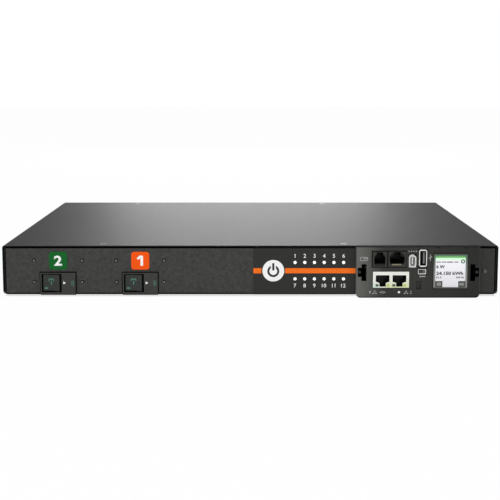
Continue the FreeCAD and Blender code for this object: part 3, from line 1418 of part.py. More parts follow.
def contact_block(x, z):
    """One outlet contact, from just behind the face to its board."""
    width = float(D.slot_short)
    height = float(D.slot_long)
    front = float(REAR + D.bank_flange_proud - D.contact_sink)
    length = front - float(OUTLET_BOARD_REAR)
    corner = Vector(float(x) - width / 2, front - length, float(z) - height / 2)
    return Part.makeBox(width, length, height, corner)


def make_inlet(number, place):
    """A power inlet: flange, shroud and a deep recess."""
    inlet = new_body(f"inlet_{number}")
    face = REAR + D.inlet_flange_proud
    z = around(D.socket_height, D.inlet_flange_height)
    recess = rectangle(grown(around(place, D.inlet_body_width), -D.inlet_wall),
                       grown(around(D.socket_height, D.inlet_body_height), -D.inlet_wall))
    hole = D.small_screw_radius + D.hole_clearance
    flange = [rectangle(around(place, D.inlet_flange_width), z)]
    flange += [((x, D.socket_height), hole) for x in around(place, D.inlet_screw_spread)]
    pad(inlet, f"inlet_{number}_flange", "XZ_Plane", REAR, D.inlet_flange_proud, flange)
    body = rectangle(around(place, D.inlet_body_width), around(D.socket_height, D.inlet_body_height))
    back = face - D.inlet_body_depth
    pad(inlet, f"inlet_{number}_body", "XZ_Plane", back, D.inlet_body_depth, [body])
    pocket(inlet, f"inlet_{number}_recess", "XZ_Plane", face - D.inlet_recess, D.inlet_recess, [recess])
    blades = [rectangle(around(x, D.blade_width), around(z, D.blade_thickness))
              for x, z in blade_places(place)]
    pocket(inlet, f"inlet_{number}_blade_slots", "XZ_Plane", back, D.inlet_body_depth, blades)
    soften(inlet, f"inlet_{number}_corners", D.inlet_corner, lambda edge: is_flange_corner(edge, place))


def is_flange_corner(edge, place):
    """The four corners of an inlet's flange."""
    box = edge.BoundBox
    half = D.inlet_flange_width / 2
    at_side = near(box.XMin, place - half) or near(box.XMin, place + half)
    return runs(edge, "y") and at_side


def blade_places(place):
    """The middles of an inlet's three blades: the two power blades below, the earth blade above."""
    half = D.blade_spread / 2
    low = D.socket_height - D.blade_rise
    return [(place - half, low), (place + half, low), (place, D.socket_height + D.blade_rise)]


def make_inlets():
    """Both inlets, their blades and their screws."""
    blades = []
    screws = []
    face = REAR + D.inlet_flange_proud
    back = face - D.inlet_body_depth
    top = face + D.small_screw_proud
    sizes = (D.small_screw_head, D.small_screw_proud, D.small_screw_radius, D.inlet_screw_length)
    y = (back - D.terminal_length, face - D.inlet_recess + D.blade_reach)
    for number, place in enumerate(INLETS, 1):
        make_inlet(number, place)
        for index, (x, z) in enumerate(blade_places(place)):
            blade_x = around(x, D.blade_width)
            blades.append(block(f"blade_{number}_{index}", blade_x, y, around(z, D.blade_thickness)))
        for x in around(place, D.inlet_screw_spread):
            screws.append(screw((x, top, D.socket_height), Vector(0, -1, 0), *sizes))
    group("inlet_blades", blades)
    keep(solid("inlet_screws", Part.makeCompound(screws)), "inlet_screws")


def make_earth():
    """The earth stud through the rear wall, and its nut."""
    start = (EARTH_PLACE, WALL_FRONT - D.earth_head_height, D.earth_height)
    head = rod("earth_head", "y", start, D.earth_head_radius, D.earth_head_height)
    start = (EARTH_PLACE, WALL_FRONT - PAST, D.earth_height)
    length = D.earth_length + D.sheet_thickness + PAST
    shank = rod("earth_shank", "y", start, D.earth_radius, length)
    keep(join("earth_stud", [head, shank]), "earth_stud")
    over_corners = D.nut_flats / 2 / math.cos(math.pi / NUT_SIDES)
    start = (EARTH_PLACE, REAR, D.earth_height)
    nut = hexagon_bar("earth_nut_prism", "y", start, over_corners, D.nut_height)
    start = (EARTH_PLACE, REAR - PAST, D.earth_height)
    bore = rod("earth_nut_bore", "y", start, D.earth_radius, D.nut_height + 2 * PAST)
    keep(cut("earth_nut", nut, [bore]), "earth_nut")


# Boards and wiring inside the case


def make_outlet_board():
    """The board that the outlets are soldered to, and a relay for each outlet."""
    boards_x = (BANK_ONE - BANK_WIDTH / 2, BANK_TWO + BANK_WIDTH / 2)
    z = around(D.socket_height, D.outlet_board_height)
    keep(block("outlet_board", boards_x, (OUTLET_BOARD_FRONT, OUTLET_BOARD_REAR), z), "outlet_board")
    relays = []
    y = (OUTLET_BOARD_FRONT - D.relay_depth, OUTLET_BOARD_FRONT)
    for place in (BANK_ONE, BANK_TWO):
        for index in range(int(float(OUTLET_COUNT))):
            x = around(first_outlet(place) + index * D.outlet_pitch, D.relay_width)
            z = around(D.socket_height, D.relay_height)
            relays.append(block(f"relay_{len(relays)}", x, y, z))
    group("outlet_relays", relays)


def make_main_board(spacers):
    """The main board with its spacers, relays, power supply, sensors and terminal blocks."""
    x = (MAIN_LEFT, MAIN_RIGHT)
    y = (MAIN_FRONT, MAIN_REAR)
    keep(block("main_board", x, y, (D.main_board_height, MAIN_BOARD_TOP)), "main_board")
    for px in grown(x, -D.spacer_inset):
        for py in grown(y, -D.spacer_inset):
            start = (px, py, D.sheet_thickness)
            height = D.main_board_height - D.sheet_thickness
            name = f"main_spacer_{len(spacers)}"
            spacers.append(hexagon_bar(name, "z", start, D.spacer_radius, height))
    group("board_spacers", spacers)
    relays = []
    z = (MAIN_BOARD_TOP, MAIN_BOARD_TOP + D.transfer_height)
    for column in range(int(float(D.transfer_columns))):
        for row in range(int(float(D.transfer_rows))):
            x = around(MAIN_LEFT + D.transfer_along + column * D.transfer_pitch, D.transfer_width)
            y = around(MAIN_FRONT + D.transfer_front + row * D.transfer_pitch, D.transfer_length)
            relays.append(block(f"transfer_{column}_{row}", x, y, z))
    group("transfer_relays", relays)
    supply_place = MAIN_RIGHT - D.supply_inset
    x = around(supply_place, D.supply_width)
    y = around(MAIN_REAR - D.supply_rear, D.supply_length)
    z = (MAIN_BOARD_TOP, MAIN_BOARD_TOP + D.supply_height)
    supply = [block("supply_block", x, y, z)]
    row = y[0] - D.capacitor_gap - D.capacitor_radius
    for index, place in enumerate(around(supply_place, D.supply_width / 2)):
        start = (place, row, MAIN_BOARD_TOP)
        supply.append(rod(f"capacitor_{index}", "z", start, D.capacitor_radius, D.capacitor_height))
    group("power_supply", supply)
    make_board_terminals()


def make_board_terminals():
    """The terminal blocks on the main board, and a current sensor round each live wire."""
    blocks = []
    sensors = []
    block_x = around(BLOCK_PLACE, D.block_width)
    block_z = (MAIN_BOARD_TOP, MAIN_BOARD_TOP + D.block_height)
    sensor_x = (MAIN_LEFT, MAIN_LEFT + D.sensor_length)
    sensor_z = (MAIN_BOARD_TOP, MAIN_BOARD_TOP + D.sensor_height)
    radius = D.wire_radius + D.sensor_clearance
    for index, row in enumerate(BLOCK_ROWS):
        y = around(row, D.block_depth)
        blocks.append(block(f"terminal_block_{index}", block_x, y, block_z))
        live_way = row - D.way_pitch / 2
        base = block(f"sensor_{index}_base", sensor_x, around(live_way, D.sensor_width), sensor_z)
        start = (MAIN_LEFT - PAST, live_way, WAY_HEIGHT)
        hole = rod(f"sensor_{index}_hole", "x", start, radius, D.sensor_length + 2 * PAST)
        sensors.append(cut(f"sensor_{index}", base, [hole]))
    group("terminal_blocks", blocks)
    group("current_sensors", sensors)


def make_bus_bars():
    """Two bent copper bars from the main board, between the banks' relays, to the outlets' board."""
    bars = []
    start = MAIN_REAR - D.bus_start
    for index, place in enumerate(around((BANK_ONE + BANK_TWO) / 2, D.bus_spread)):
        x = around(place, D.bus_width)
        foot = block(f"bus_{index}_foot", x, (start, start + D.bus_thickness),
                     (MAIN_BOARD_TOP, D.bus_height + D.bus_thickness))
        leg = block(f"bus_{index}_leg", x, (start, OUTLET_BOARD_FRONT),
                    (D.bus_height, D.bus_height + D.bus_thickness))
        bars.append(join(f"bus_{index}", [foot, leg]))
    group("bus_bars", bars)


def eased_path(points):
    """Straight runs with each corner cut off, as one wire."""
    stops = [points[0]]
    for before, corner, after in zip(points, points[1:], points[2:]):
        reach = BEND_SHARE * min((before - corner).Length, (after - corner).Length)
        stops.append(corner + (before - corner).normalize() * reach)
        stops.append(corner + (after - corner).normalize() * reach)
    return Part.makePolygon(stops + [points[-1]])


def swept(section, path):
    """A closed section carried along a path of straight runs, mitred at each corner."""
    return path.makePipeShell([section], True, False, MITRED)


def wire(points):
    """One insulated wire along its route, six-sided to stay light."""
    path = eased_path([Vector(*[float(v) for v in point]) for point in points])
    start = path.Vertexes[0].Point
    along = (path.Vertexes[1].Point - start).normalize()
    side = along.cross(Vector(0, 0, 1)).normalize()
    radius = float(D.wire_radius)
    corners = []
    for index in range(NUT_SIDES):
        turn = FreeCAD.Rotation(along, 360 * index / NUT_SIDES)
        corners.append(start + turn.multVec(side) * radius)
    return swept(Part.makePolygon(corners + corners[:1]), path)


def make_wires():
    """Live wires by way of the breakers, neutral wires, and earth leads to the stud."""
    wires = []
    inlet_back = REAR + D.inlet_flange_proud - D.inlet_body_depth - D.terminal_length
    inlet_lead = inlet_back - D.wire_lead
    case_back = FRONT + D.case_depth + D.terminal_length
    case_lead = case_back + D.wire_lead
    way_x = BLOCK_PLACE - D.block_width / 2
    stud_face = WALL_FRONT - D.earth_head_height
    stud_ways = around(EARTH_PLACE, 2 * D.wire_radius + D.wire_gap)
    crossings = (D.neutral_over, D.neutral_under)
    for index, (inlet, breaker, row) in enumerate(zip(INLETS, BREAKERS, BLOCK_ROWS)):
        live, neutral, earth = blade_places(inlet)
        supply_x, load_x = around(breaker, D.terminal_pitch)
        live_y, neutral_y = around(row, D.way_pitch)
        wires.append(wire([
            (live[0], inlet_back, live[1]),
            (live[0], inlet_lead, live[1]),
            (supply_x, D.live_turn, D.live_low),
            (supply_x, case_lead, BREAKER_MIDDLE),
            (supply_x, case_back, BREAKER_MIDDLE),
        ]))
        wires.append(wire([
            (load_x, case_back, BREAKER_MIDDLE),
            (load_x, case_lead, BREAKER_MIDDLE),
            (load_x, live_y, WAY_HEIGHT),
            (way_x, live_y, WAY_HEIGHT),
        ]))
        wires.append(wire([
            (neutral[0], inlet_back, neutral[1]),
            (neutral[0], inlet_lead, neutral[1]),
            (way_x - D.neutral_reach, neutral_y, crossings[index]),
            (way_x - D.wire_lead, neutral_y, WAY_HEIGHT),
            (way_x, neutral_y, WAY_HEIGHT),
        ]))
        across = inlet_lead - (index + 1) * D.earth_step
        rise = earth[1] + (index + 1) * D.earth_rise
        wires.append(wire([
            (inlet, inlet_back, earth[1]),
            (inlet, inlet_lead, earth[1]),
            (inlet, across, rise),
            (stud_ways[index], across, rise),
            (stud_ways[index], stud_face - D.wire_lead, D.earth_height),
            (stud_ways[index], stud_face, D.earth_height),
        ]))
    keep(solid("supply_wires", Part.makeCompound(wires)), "supply_wires")


def make_ribbon():
    """The flat cable from the module down to the main board."""
    housing_back = FRONT + D.housing_depth
    turn = MAIN_FRONT + D.ribbon_landing
    corners = [(housing_back, D.ribbon_height), (turn, D.ribbon_height), (turn, MAIN_BOARD_TOP)]
    place = float(MODULE_LEFT + D.ribbon_along)
    path = eased_path([Vector(place, float(y), float(z)) for y, z in corners])
    half = float(D.ribbon_width) / 2
    thin = float(D.ribbon_thickness) / 2
    start = Vector(place, float(housing_back), float(D.ribbon_height))
    corners = ((-half, -thin), (half, -thin), (half, thin), (-half, thin))
    section = [start + Vector(x, 0, z) for x, z in corners]
    shape = swept(Part.makePolygon(section + section[:1]), path)
    keep(solid("ribbon_cable", shape), "ribbon_cable")


def make_case():
    """Everything that the case is folded from, and its screws."""
    make_tray()
    make_front_panel()
    make_cover()
    make_cover_screws()
    make_panel_screw()


def make_module():
    """The network module in the right of the front panel."""
    make_faceplate()
    make_housing()
    make_display()
    make_jacks()
    make_small_ports()
    make_reset()
    make_module_screws()


def check_and_write():
    """Stop on any failed object or shape, then write one file for each sub-part."""
    doc.recompute()
    for item in doc.Objects:
        if "Invalid" in item.State or "Error" in item.State:
            raise RuntimeError(f"{item.Label} failed: {item.State}")
    for item in nodes:
        if item.Shape.isNull() or not item.Shape.isValid():
            raise RuntimeError(f"{item.Label} has a bad shape")
    os.makedirs("parts", exist_ok=True)
    for item in nodes:
        item.Shape.exportStep(f"parts/{item.Label}.step")
    print(len(nodes), "sub-parts")


make_case()
for number, place in enumerate(BREAKERS, 1):
    make_breaker(number, place)
    make_tag(number, place)
make_breaker_fittings()
status_spacers = make_overlay()
make_module()
make_outlets()
make_inlets()
make_earth()
make_outlet_board()
make_main_board(status_spacers)
make_bus_bars()
make_wires()
make_ribbon()
check_and_write()
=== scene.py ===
import math

import bpy
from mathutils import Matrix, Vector


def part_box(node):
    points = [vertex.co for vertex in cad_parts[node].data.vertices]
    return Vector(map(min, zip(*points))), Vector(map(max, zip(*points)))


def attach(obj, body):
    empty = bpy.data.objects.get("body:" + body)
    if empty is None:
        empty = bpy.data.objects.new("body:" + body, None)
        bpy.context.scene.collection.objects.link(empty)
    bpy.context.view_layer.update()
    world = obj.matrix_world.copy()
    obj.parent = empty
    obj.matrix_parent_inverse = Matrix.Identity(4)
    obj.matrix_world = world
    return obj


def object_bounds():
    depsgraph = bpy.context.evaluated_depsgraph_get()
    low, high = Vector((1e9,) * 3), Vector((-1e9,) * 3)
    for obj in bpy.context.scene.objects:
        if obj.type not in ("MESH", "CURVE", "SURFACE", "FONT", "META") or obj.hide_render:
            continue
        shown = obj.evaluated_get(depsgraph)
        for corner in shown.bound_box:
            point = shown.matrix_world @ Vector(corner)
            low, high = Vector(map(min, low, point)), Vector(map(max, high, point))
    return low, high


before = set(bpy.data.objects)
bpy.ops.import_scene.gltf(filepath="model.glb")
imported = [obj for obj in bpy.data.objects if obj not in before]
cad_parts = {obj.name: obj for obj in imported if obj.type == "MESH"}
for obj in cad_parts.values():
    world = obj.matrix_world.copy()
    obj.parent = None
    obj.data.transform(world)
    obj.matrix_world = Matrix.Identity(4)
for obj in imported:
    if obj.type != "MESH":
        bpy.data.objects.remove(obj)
cad_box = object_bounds()

MM = 0.001
INK = 0.06 * MM  # how far a print stands proud of what carries it


# Places on the part, in millimetres


def reach(node, axis):
    """A solid's lowest and highest places along one axis."""
    low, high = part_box(node)
    return getattr(low, axis) / MM, getattr(high, axis) / MM


def middle(node, axis):
    """A solid's middle along one axis."""
    return sum(reach(node, axis)) / 2


OVERLAY_FACE = reach("status_overlay", "y")[0]
BEZEL_FACE = reach("breaker_1_bezel", "y")[0]
TAG_FACE = reach("tag_1", "y")[0]
DISC_FACE = reach("emblem_disc", "y")[0]
MODULE_FACE = reach("module_faceplate", "y")[0]
JACK_FACE = reach("serial_jack", "y")[0]

PANEL_X = reach("front_panel", "x")
PANEL_Z = reach("front_panel", "z")
COVER_FRONT = reach("top_cover", "y")[0]
COVER_TOP = reach("top_cover", "z")[1]

BREAKERS = {number: middle(f"breaker_{number}_bezel", "x") for number in (1, 2)}
BEZEL_HALF = reach("breaker_1_bezel", "x")[1] - BREAKERS[1]
BEZEL_Z = reach("breaker_1_bezel", "z")
ROCKER_SHIFT = -5.5
ROCKER_WELL_HALF = 8.8
ROCKER_WELL_Z = (2.8, 19.35)
BREAKER_SCREWS = (21.15, 9.65)  # half the spread across and up
BREAKER_SCREW_HEIGHT = 21.15

TAG_HEIGHT = middle("tag_1", "z")
DISC = (middle("emblem_disc", "x"), middle("emblem_disc", "z"))
STRIPE_HEIGHT = middle("status_stripe", "z")
FIRST_LIGHT = 39.5
LIGHT_PITCH = 8.57
UPPER_NUMERALS = 35.0
LOWER_NUMERALS = 8.3

MODULE_X = reach("module_faceplate", "x")
MODULE_TOP = reach("module_faceplate", "z")[1]
SLOTS = ((97.4, 101.5), (192.6, 196.7))
SLOT_Z = (14.2, 29.0)
LOBES = ((93.9, 97.5), (196.6, 200.2))
LOBE_Z = (17.8, 26.0)
DISPLAY_Z = reach("display_bezel", "z")
UPPER_JACKS = 25.0  # between the upper jacks and the network jack

COVER_SCREWS_X = (-131.2, 83.2)
COVER_SCREWS_Y = (-108.9, 109.5)
INLET_SCREWS_X = (-209.0, -169.0, -158.0, -118.0)
INLET_SCREW_FACE = reach("inlet_screws", "y")[1]
INLET_SCREW_HEIGHT = middle("inlet_screws", "z")

# How far the painted shadow of the gaps reaches onto the pieces beside them, in millimetres

FOOT_SHADOW = 1.3
HEAD_SHADOW = 0.8
SIDE_SHADOW = 0.9
SHADOW_LINES = {
    "sensor_jack": 0.35,
    "serial_jack": 0.35,
    "ethernet_inserts": 0.75,
    "aux_port_shell": 0.45,
    "usb_port_shell": 0.6,
    "mini_port_shell": 0.85,
    "display_bezel": 0.45,
}

# Painted shade: the two blacks below stand in for shade in the gaps, recesses and port insides
SHADE_BLACK = (0.001, 0.001, 0.001)  # in the gaps
HOLLOW_SHADE_BLACK = (0.002, 0.002, 0.002)  # inside the small ports and just behind the front


# Shader arithmetic


class Signal:
    """A shader socket that takes Python's arithmetic."""

    def __init__(self, graph, socket):
        self.graph = graph
        self.socket = socket

    def maths(self, operation, *values):
        inputs = dict(enumerate(values))
        return self.graph.node("ShaderNodeMath", {"operation": operation}, inputs)

    def __add__(self, other):
        return self.maths("ADD", self, other)

    def __sub__(self, other):
        return self.maths("SUBTRACT", self, other)

    def __rsub__(self, other):
        return self.maths("SUBTRACT", other, self)

    def __mul__(self, other):
        return self.maths("MULTIPLY", self, other)

    def __truediv__(self, other):
        return self.maths("DIVIDE", self, other)

    def __gt__(self, other):
        return self.maths("GREATER_THAN", self, other)

    def __lt__(self, other):
        return self.maths("LESS_THAN", self, other)

    def __abs__(self):
        return self.maths("ABSOLUTE", self)

    __radd__ = __add__
    __rmul__ = __mul__

    def clamped(self):
        return self.maths("MAXIMUM", self.maths("MINIMUM", self, 1.0), 0.0)

    def between(self, low, high):
        """1 where this lies between two numbers, and 0 elsewhere."""
        return (self > low) * (self < high)

    def climb(self, low, high):
        """From 0 at one number to 1 at the other."""
        return ((self - low) / (high - low)).clamped()

    def swing(self, amount):
        """Noise about 0 instead of 0.5, times an amount."""
        return (self - 0.5) * amount


class Graph:
    """A node tree whose nodes take values or signals."""

    def __init__(self, tree):
        self.tree = tree

    def node(self, kind, settings=None, inputs=None, output=0):
        """Any node: its settings first, then its sockets, and one output as a signal."""
        made = self.tree.nodes.new(kind)
        for name, value in (settings or {}).items():
            setattr(made, name, value)
        for name, value in (inputs or {}).items():
            self.feed(made.inputs[name], value)
        return Signal(self, made.outputs[output]) if made.outputs else None

    def feed(self, socket, value):
        if isinstance(value, Signal):
            self.tree.links.new(value.socket, socket)
        elif isinstance(value, tuple) and len(value) == 3 and socket.type == "RGBA":
            socket.default_value = (*value, 1.0)
        else:
            socket.default_value = value

    def split(self, vector):
        """The three parts of a vector."""
        parts = self.node("ShaderNodeSeparateXYZ", inputs={0: vector})
        return [Signal(self, output) for output in parts.socket.node.outputs]

    def ray(self, kind):
        """1 for rays of one kind."""
        return self.node("ShaderNodeLightPath", output=f"Is {kind} Ray")

    def seen(self):
        """1 for what the camera sees directly, mirrored or through glass."""
        seen = self.ray("Camera")
        for kind in ("Glossy", "Transmission"):
            seen = seen.maths("MAXIMUM", seen, self.ray(kind))
        return seen


class Paint(Graph):
    """A material whose shader takes values or signals."""

    def __init__(self, name, colour, roughness, metallic=0.0, sheen=0.5):
        self.material = bpy.data.materials.new(name)
        self.material.use_nodes = True
        self.material.diffuse_color = (*colour, 1.0)
        super().__init__(self.material.node_tree)
        self.shader = self.tree.nodes["Principled BSDF"]
        self.put("Base Color", colour)
        self.put("Roughness", roughness)
        self.put("Metallic", metallic)
        self.put("Specular IOR Level", sheen)
        self.where = self.node("ShaderNodeTexCoord", output="Object")
        self.x, self.y, self.z = [part * (1.0 / MM) for part in self.split(self.where)]

    def put(self, name, value):
        self.feed(self.shader.inputs[name], value)

    def noise(self, scale, detail=2.0, stretch=None):
        """Noise on the piece's own place, with about this many lumps to a metre."""
        where = self.where
        if stretch:
            where = self.node("ShaderNodeMapping", inputs={"Vector": where, "Scale": stretch})
        inputs = {"Vector": where, "Scale": scale, "Detail": detail}
        return self.node("ShaderNodeTexNoise", inputs=inputs)

    def mix(self, first, second, share):
        """One colour over another."""
        inputs = {0: share, 6: first, 7: second}
        return self.node("ShaderNodeMix", {"data_type": "RGBA"}, inputs, output=2)

    def mottle(self, colour, dark, pale, grain):
        """A colour that wanders between a darker and a paler one as its grain swings."""
        return self.mix(shade(colour, dark), shade(colour, pale), (grain + 0.5).clamped())

    def bump(self, height, distance):
        inputs = {"Height": height, "Distance": distance, "Strength": 1.0}
        self.put("Normal", self.node("ShaderNodeBump", inputs=inputs))

    def shadow(self, body, mask):
        """The base colour, with painted shade: black where a mask is 1."""
        self.put("Base Color", self.mix(body, SHADE_BLACK, mask.clamped()))

    def blacken(self, mask, share=1.0):
        """Dead black without any shine, where hardly any light reaches."""
        black = self.node("ShaderNodeBsdfDiffuse", inputs={"Color": SHADE_BLACK})
        inputs = {0: mask.clamped() * share, 1: Signal(self, self.shader.outputs[0]), 2: black}
        blend = self.node("ShaderNodeMixShader", inputs=inputs)
        self.feed(self.tree.nodes["Material Output"].inputs["Surface"], blend)

    def far(self, across, up):
        """How far a point lies from a middle, from its two offsets."""
        squares = across * across + up * up
        return squares.maths("SQRT", squares)

    def box_mask(self, x, z, margin=0.0):
        """1 inside a rectangle of the front, in millimetres."""
        across = self.x.between(x[0] - margin, x[1] + margin)
        return across * self.z.between(z[0] - margin, z[1] + margin)

    def box_masks(self, *boxes):
        """1 inside any of several rectangles."""
        return sum(self.box_mask(x, z) for x, z in boxes).clamped()


def shade(colour, factor):
    """A colour made darker or lighter."""
    return tuple(min(1.0, part * factor) for part in colour)


def grey(level):
    """A neutral colour from its level on the screen, 0 to 255."""
    value = level / 255.0
    linear = value / 12.92 if value <= 0.04045 else ((value + 0.055) / 1.055) ** 2.4
    return (linear, linear, linear)


def screen_colour(red, green, blue):
    """A colour from its three levels on the screen."""
    return (grey(red)[0], grey(green)[0], grey(blue)[0])


# Finishes


def powder_coat(name, colour, grain, sheen=0.5):
    """Fine powder coat: mottled in colour, with an orange-peel skin."""
    paint = Paint(name, colour, 0.45, sheen=sheen)
    fine = paint.noise(900.0, 3.0)
    lumps = paint.noise(430.0)
    slow = paint.noise(35.0)
    body = paint.mottle(colour, 0.5, 1.5, lumps.swing(grain) + slow.swing(0.12))
    paint.put("Roughness", 0.46 + fine * 0.14)
    paint.bump(fine, 0.00004)
    return paint, body


def moulded(name, colour, roughness, grain, sheen=0.5):
    """Moulded plastic with a fine spark-eroded skin."""
    paint = Paint(name, colour, roughness, sheen=sheen)
    fine = paint.noise(1600.0)
    slow = paint.noise(60.0, 1.0)
    paint.put("Base Color", paint.mottle(colour, 0.7, 1.3, fine.swing(grain) + slow.swing(0.15)))
    paint.put("Roughness", (roughness - 0.06) + fine * 0.12)
    paint.bump(fine, 0.00002)
    return paint


def bright_metal(name, colour, roughness, stretch=(1.0, 1.0, 1.0)):
    """Plated or drawn metal, whose faint blotches a stretch turns into streaks."""
    paint = Paint(name, colour, roughness, metallic=1.0)
    streaks = paint.noise(500.0, stretch=stretch)
    blotch = paint.noise(90.0)
    paint.put("Base Color", paint.mottle(colour, 0.8, 1.15, streaks.swing(0.5) + blotch.swing(0.3)))
    paint.put("Roughness", (roughness - 0.08) + streaks * 0.16)
    paint.bump(streaks, 0.00001)
    return paint


def ink(name, colour, roughness=0.45):
    """Screen-printed ink with a slightly uneven film."""
    paint = Paint(name, colour, roughness, sheen=0.2)
    film = paint.noise(700.0)
    paint.put("Base Color", paint.mottle(colour, 0.93, 1.04, film.swing(0.5)))
    paint.put("Roughness", (roughness - 0.05) + film * 0.1)
    return paint


def make_front_paint():
    """The front coat, painted black as shade behind the module, round the breakers and along its edges."""
    paint, body = powder_coat("front_coat", screen_colour(60, 60, 58), 1.1, sheen=0.2)
    # Painted shade: the panel's right end, beside the module, is darker
    shaded_right_end = paint.x > MODULE_X[1] + 1.0
    body = paint.mix(body, screen_colour(44, 44, 43), shaded_right_end * 0.6)
    # Painted shade, black: behind the module, along the panel's edges and round each breaker
    behind_module = (MODULE_X[0] + 0.6, MODULE_X[1] - 0.7)
    dark = paint.x.between(*behind_module) + (abs(paint.x) > PANEL_X[1] - SIDE_SHADOW)
    dark = dark + (paint.z < PANEL_Z[0] + FOOT_SHADOW) + (paint.z > PANEL_Z[1] - HEAD_SHADOW)
    gap = 0.45
    below = -1.0  # past the panel's foot
    for place in BREAKERS.values():
        x = (place - BEZEL_HALF - 2 * gap, place + BEZEL_HALF + gap)
        dark = dark + paint.box_mask(x, (below, BEZEL_Z[1] + gap))
    paint.shadow(body, dark)
    paint.blacken(dark)
    return paint


def make_cover_paint():
    """The cover's coat, with painted shade darkening its cut front edge."""
    paint, body = powder_coat("cover_coat", screen_colour(52, 52, 51), 1.2)
    rim = 0.4
    edge = (paint.y < COVER_FRONT + rim) * (paint.z < COVER_TOP - rim)
    paint.shadow(body, edge)
    paint.blacken(edge, 0.75)
    return paint


def make_tray_paint():
    """The tray's coat, painted black as shade where it shows in the gaps of the front."""
    paint, body = powder_coat("tray_coat", screen_colour(60, 60, 58), 0.25)
    front = -110.0
    paint.shadow(body, paint.y < front)
    return paint


def make_bezel_paint():
    """The breakers' moulding, with the shadow of its gap painted on its sides and foot, and painted shade
    round each rocker.
    """
    colour = screen_colour(58, 58, 55)
    paint = Paint("breaker_moulding", colour, 0.5, sheen=0.2)
    fine = paint.noise(420.0)
    lip, foot = 0.75, 1.0
    dark = (paint.y > BEZEL_FACE + lip) + (paint.z < BEZEL_Z[0] + foot)
    for place in BREAKERS.values():
        well = (place + ROCKER_SHIFT - ROCKER_WELL_HALF, place + ROCKER_SHIFT + ROCKER_WELL_HALF)
        dark = dark + paint.box_mask(well, ROCKER_WELL_Z)
    paint.shadow(paint.mottle(colour, 0.7, 1.3, fine.swing(0.8)), dark)
    paint.blacken(dark, 0.8)
    paint.put("Roughness", 0.45 + fine * 0.12)
    paint.bump(fine, 0.00002)
    return paint


def make_jack_paint():
    """The two upper jacks: a dark face, with painted shade black in the seams round it, inside its
    openings and along its sides.
    """
    paint = Paint("jack_moulding", grey(50), 0.5, sheen=0.2)
    fine = paint.noise(900.0)
    body = paint.mix(screen_colour(46, 46, 43), screen_colour(58, 58, 54), fine)
    latch = paint.box_mask((108.5, 118.2), (27.2, 30.0))
    body = paint.mix(body, screen_colour(30, 30, 28), latch)
    left, parting, foot, head = 107.0, (119.4, 120.7), 26.7, 40.1
    # Painted shade: black along the seams round the face, inside the openings and on the sides
    black = (paint.z > head) + (paint.z < foot) + (paint.x < left) + paint.x.between(*parting)
    sill = 29.5
    openings = (((113.35, 34.0), (4.9, 5.2)), ((128.4, 33.6), (7.0, 6.6)))
    for centre, radii in openings:
        away = paint.far((paint.x - centre[0]) / radii[0], (paint.z - centre[1]) / radii[1])
        black = black + (away < 1.0) * (paint.z > sill)
    rim = 0.15
    paint.shadow(body, black + (paint.y > JACK_FACE + rim))
    paint.put("Roughness", 0.45 + fine * 0.1)
    return paint


def make_port_shell_paint():
    """The small ports' plated shells: bright rims, with painted shade black inside."""
    paint = Paint("port_shell", screen_colour(232, 232, 228), 0.35)
    fine = paint.noise(700.0)
    rim = paint.mix(screen_colour(236, 236, 232), grey(188), (fine - 0.4).clamped())
    flat_port = ((148.15, 153.65), (27.9, 41.0))
    mini_port = ((148.0, 152.6), (21.3, 23.9))
    paint.put("Base Color", paint.mix(rim, HOLLOW_SHADE_BLACK, paint.box_masks(flat_port, mini_port)))
    paint.put("Roughness", 0.3 + fine * 0.1)
    return paint


def make_screen_paint():
    """The lit screen: a green bar that fades into pale grey, and two dark key fields."""
    paint = Paint("lit_screen", (0.8, 0.8, 0.84), 0.25)
    page_fade, bar_fade, bar_foot, bar_head = (8.0, 30.0), (32.6, 33.6), 34.85, 36.5
    keys = paint.box_masks(((161.0, 168.3), (8.5, 14.1)), ((182.1, 188.5), (8.5, 14.1)))
    key_signs = paint.box_masks(((163.4, 167.2), (9.9, 12.9)), ((183.0, 187.2), (10.1, 12.4)))
    page = paint.mix(screen_colour(212, 212, 216), screen_colour(234, 234, 239), paint.z.climb(*page_fade))
    layers = (
        (screen_colour(196, 246, 196), paint.z.climb(*bar_fade)),
        (screen_colour(92, 158, 88), paint.z > bar_foot),
        (screen_colour(78, 102, 86), paint.z > bar_head),
        (screen_colour(52, 54, 52), keys),
        (screen_colour(122, 124, 122), key_signs),
    )
    for colour, share in layers:
        page = paint.mix(page, colour, share)
    dots = paint.noise(2600.0, 0.0)
    lit = paint.mix(page, (1.0, 1.0, 1.0), dots.swing(0.08))
    paint.put("Base Color", lit)
    paint.put("Emission Color", lit)
    paint.put("Emission Strength", 0.2)
    paint.put("Coat Weight", 0.2 + dots * 0.05)
    return paint


def make_display_border_paint():
    """The display's border: green-grey at the top, paler down its sides and darker at both ends as painted
    shade.
    """
    paint = Paint("display_border", grey(120), 0.5)
    fine = paint.noise(1500.0)
    side = paint.mix(screen_colour(138, 140, 136), screen_colour(76, 100, 84), paint.z.climb(20.0, 37.0))
    ends = (paint.z < DISPLAY_Z[0] + FOOT_SHADOW) + (paint.z > DISPLAY_Z[1] - HEAD_SHADOW)
    body = paint.mix(side, screen_colour(46, 46, 42), ends.clamped())
    paint.put("Base Color", paint.mix(body, grey(50), (fine - 0.4).clamped() * 0.5))
    paint.put("Roughness", 0.45 + fine * 0.1)
    return paint


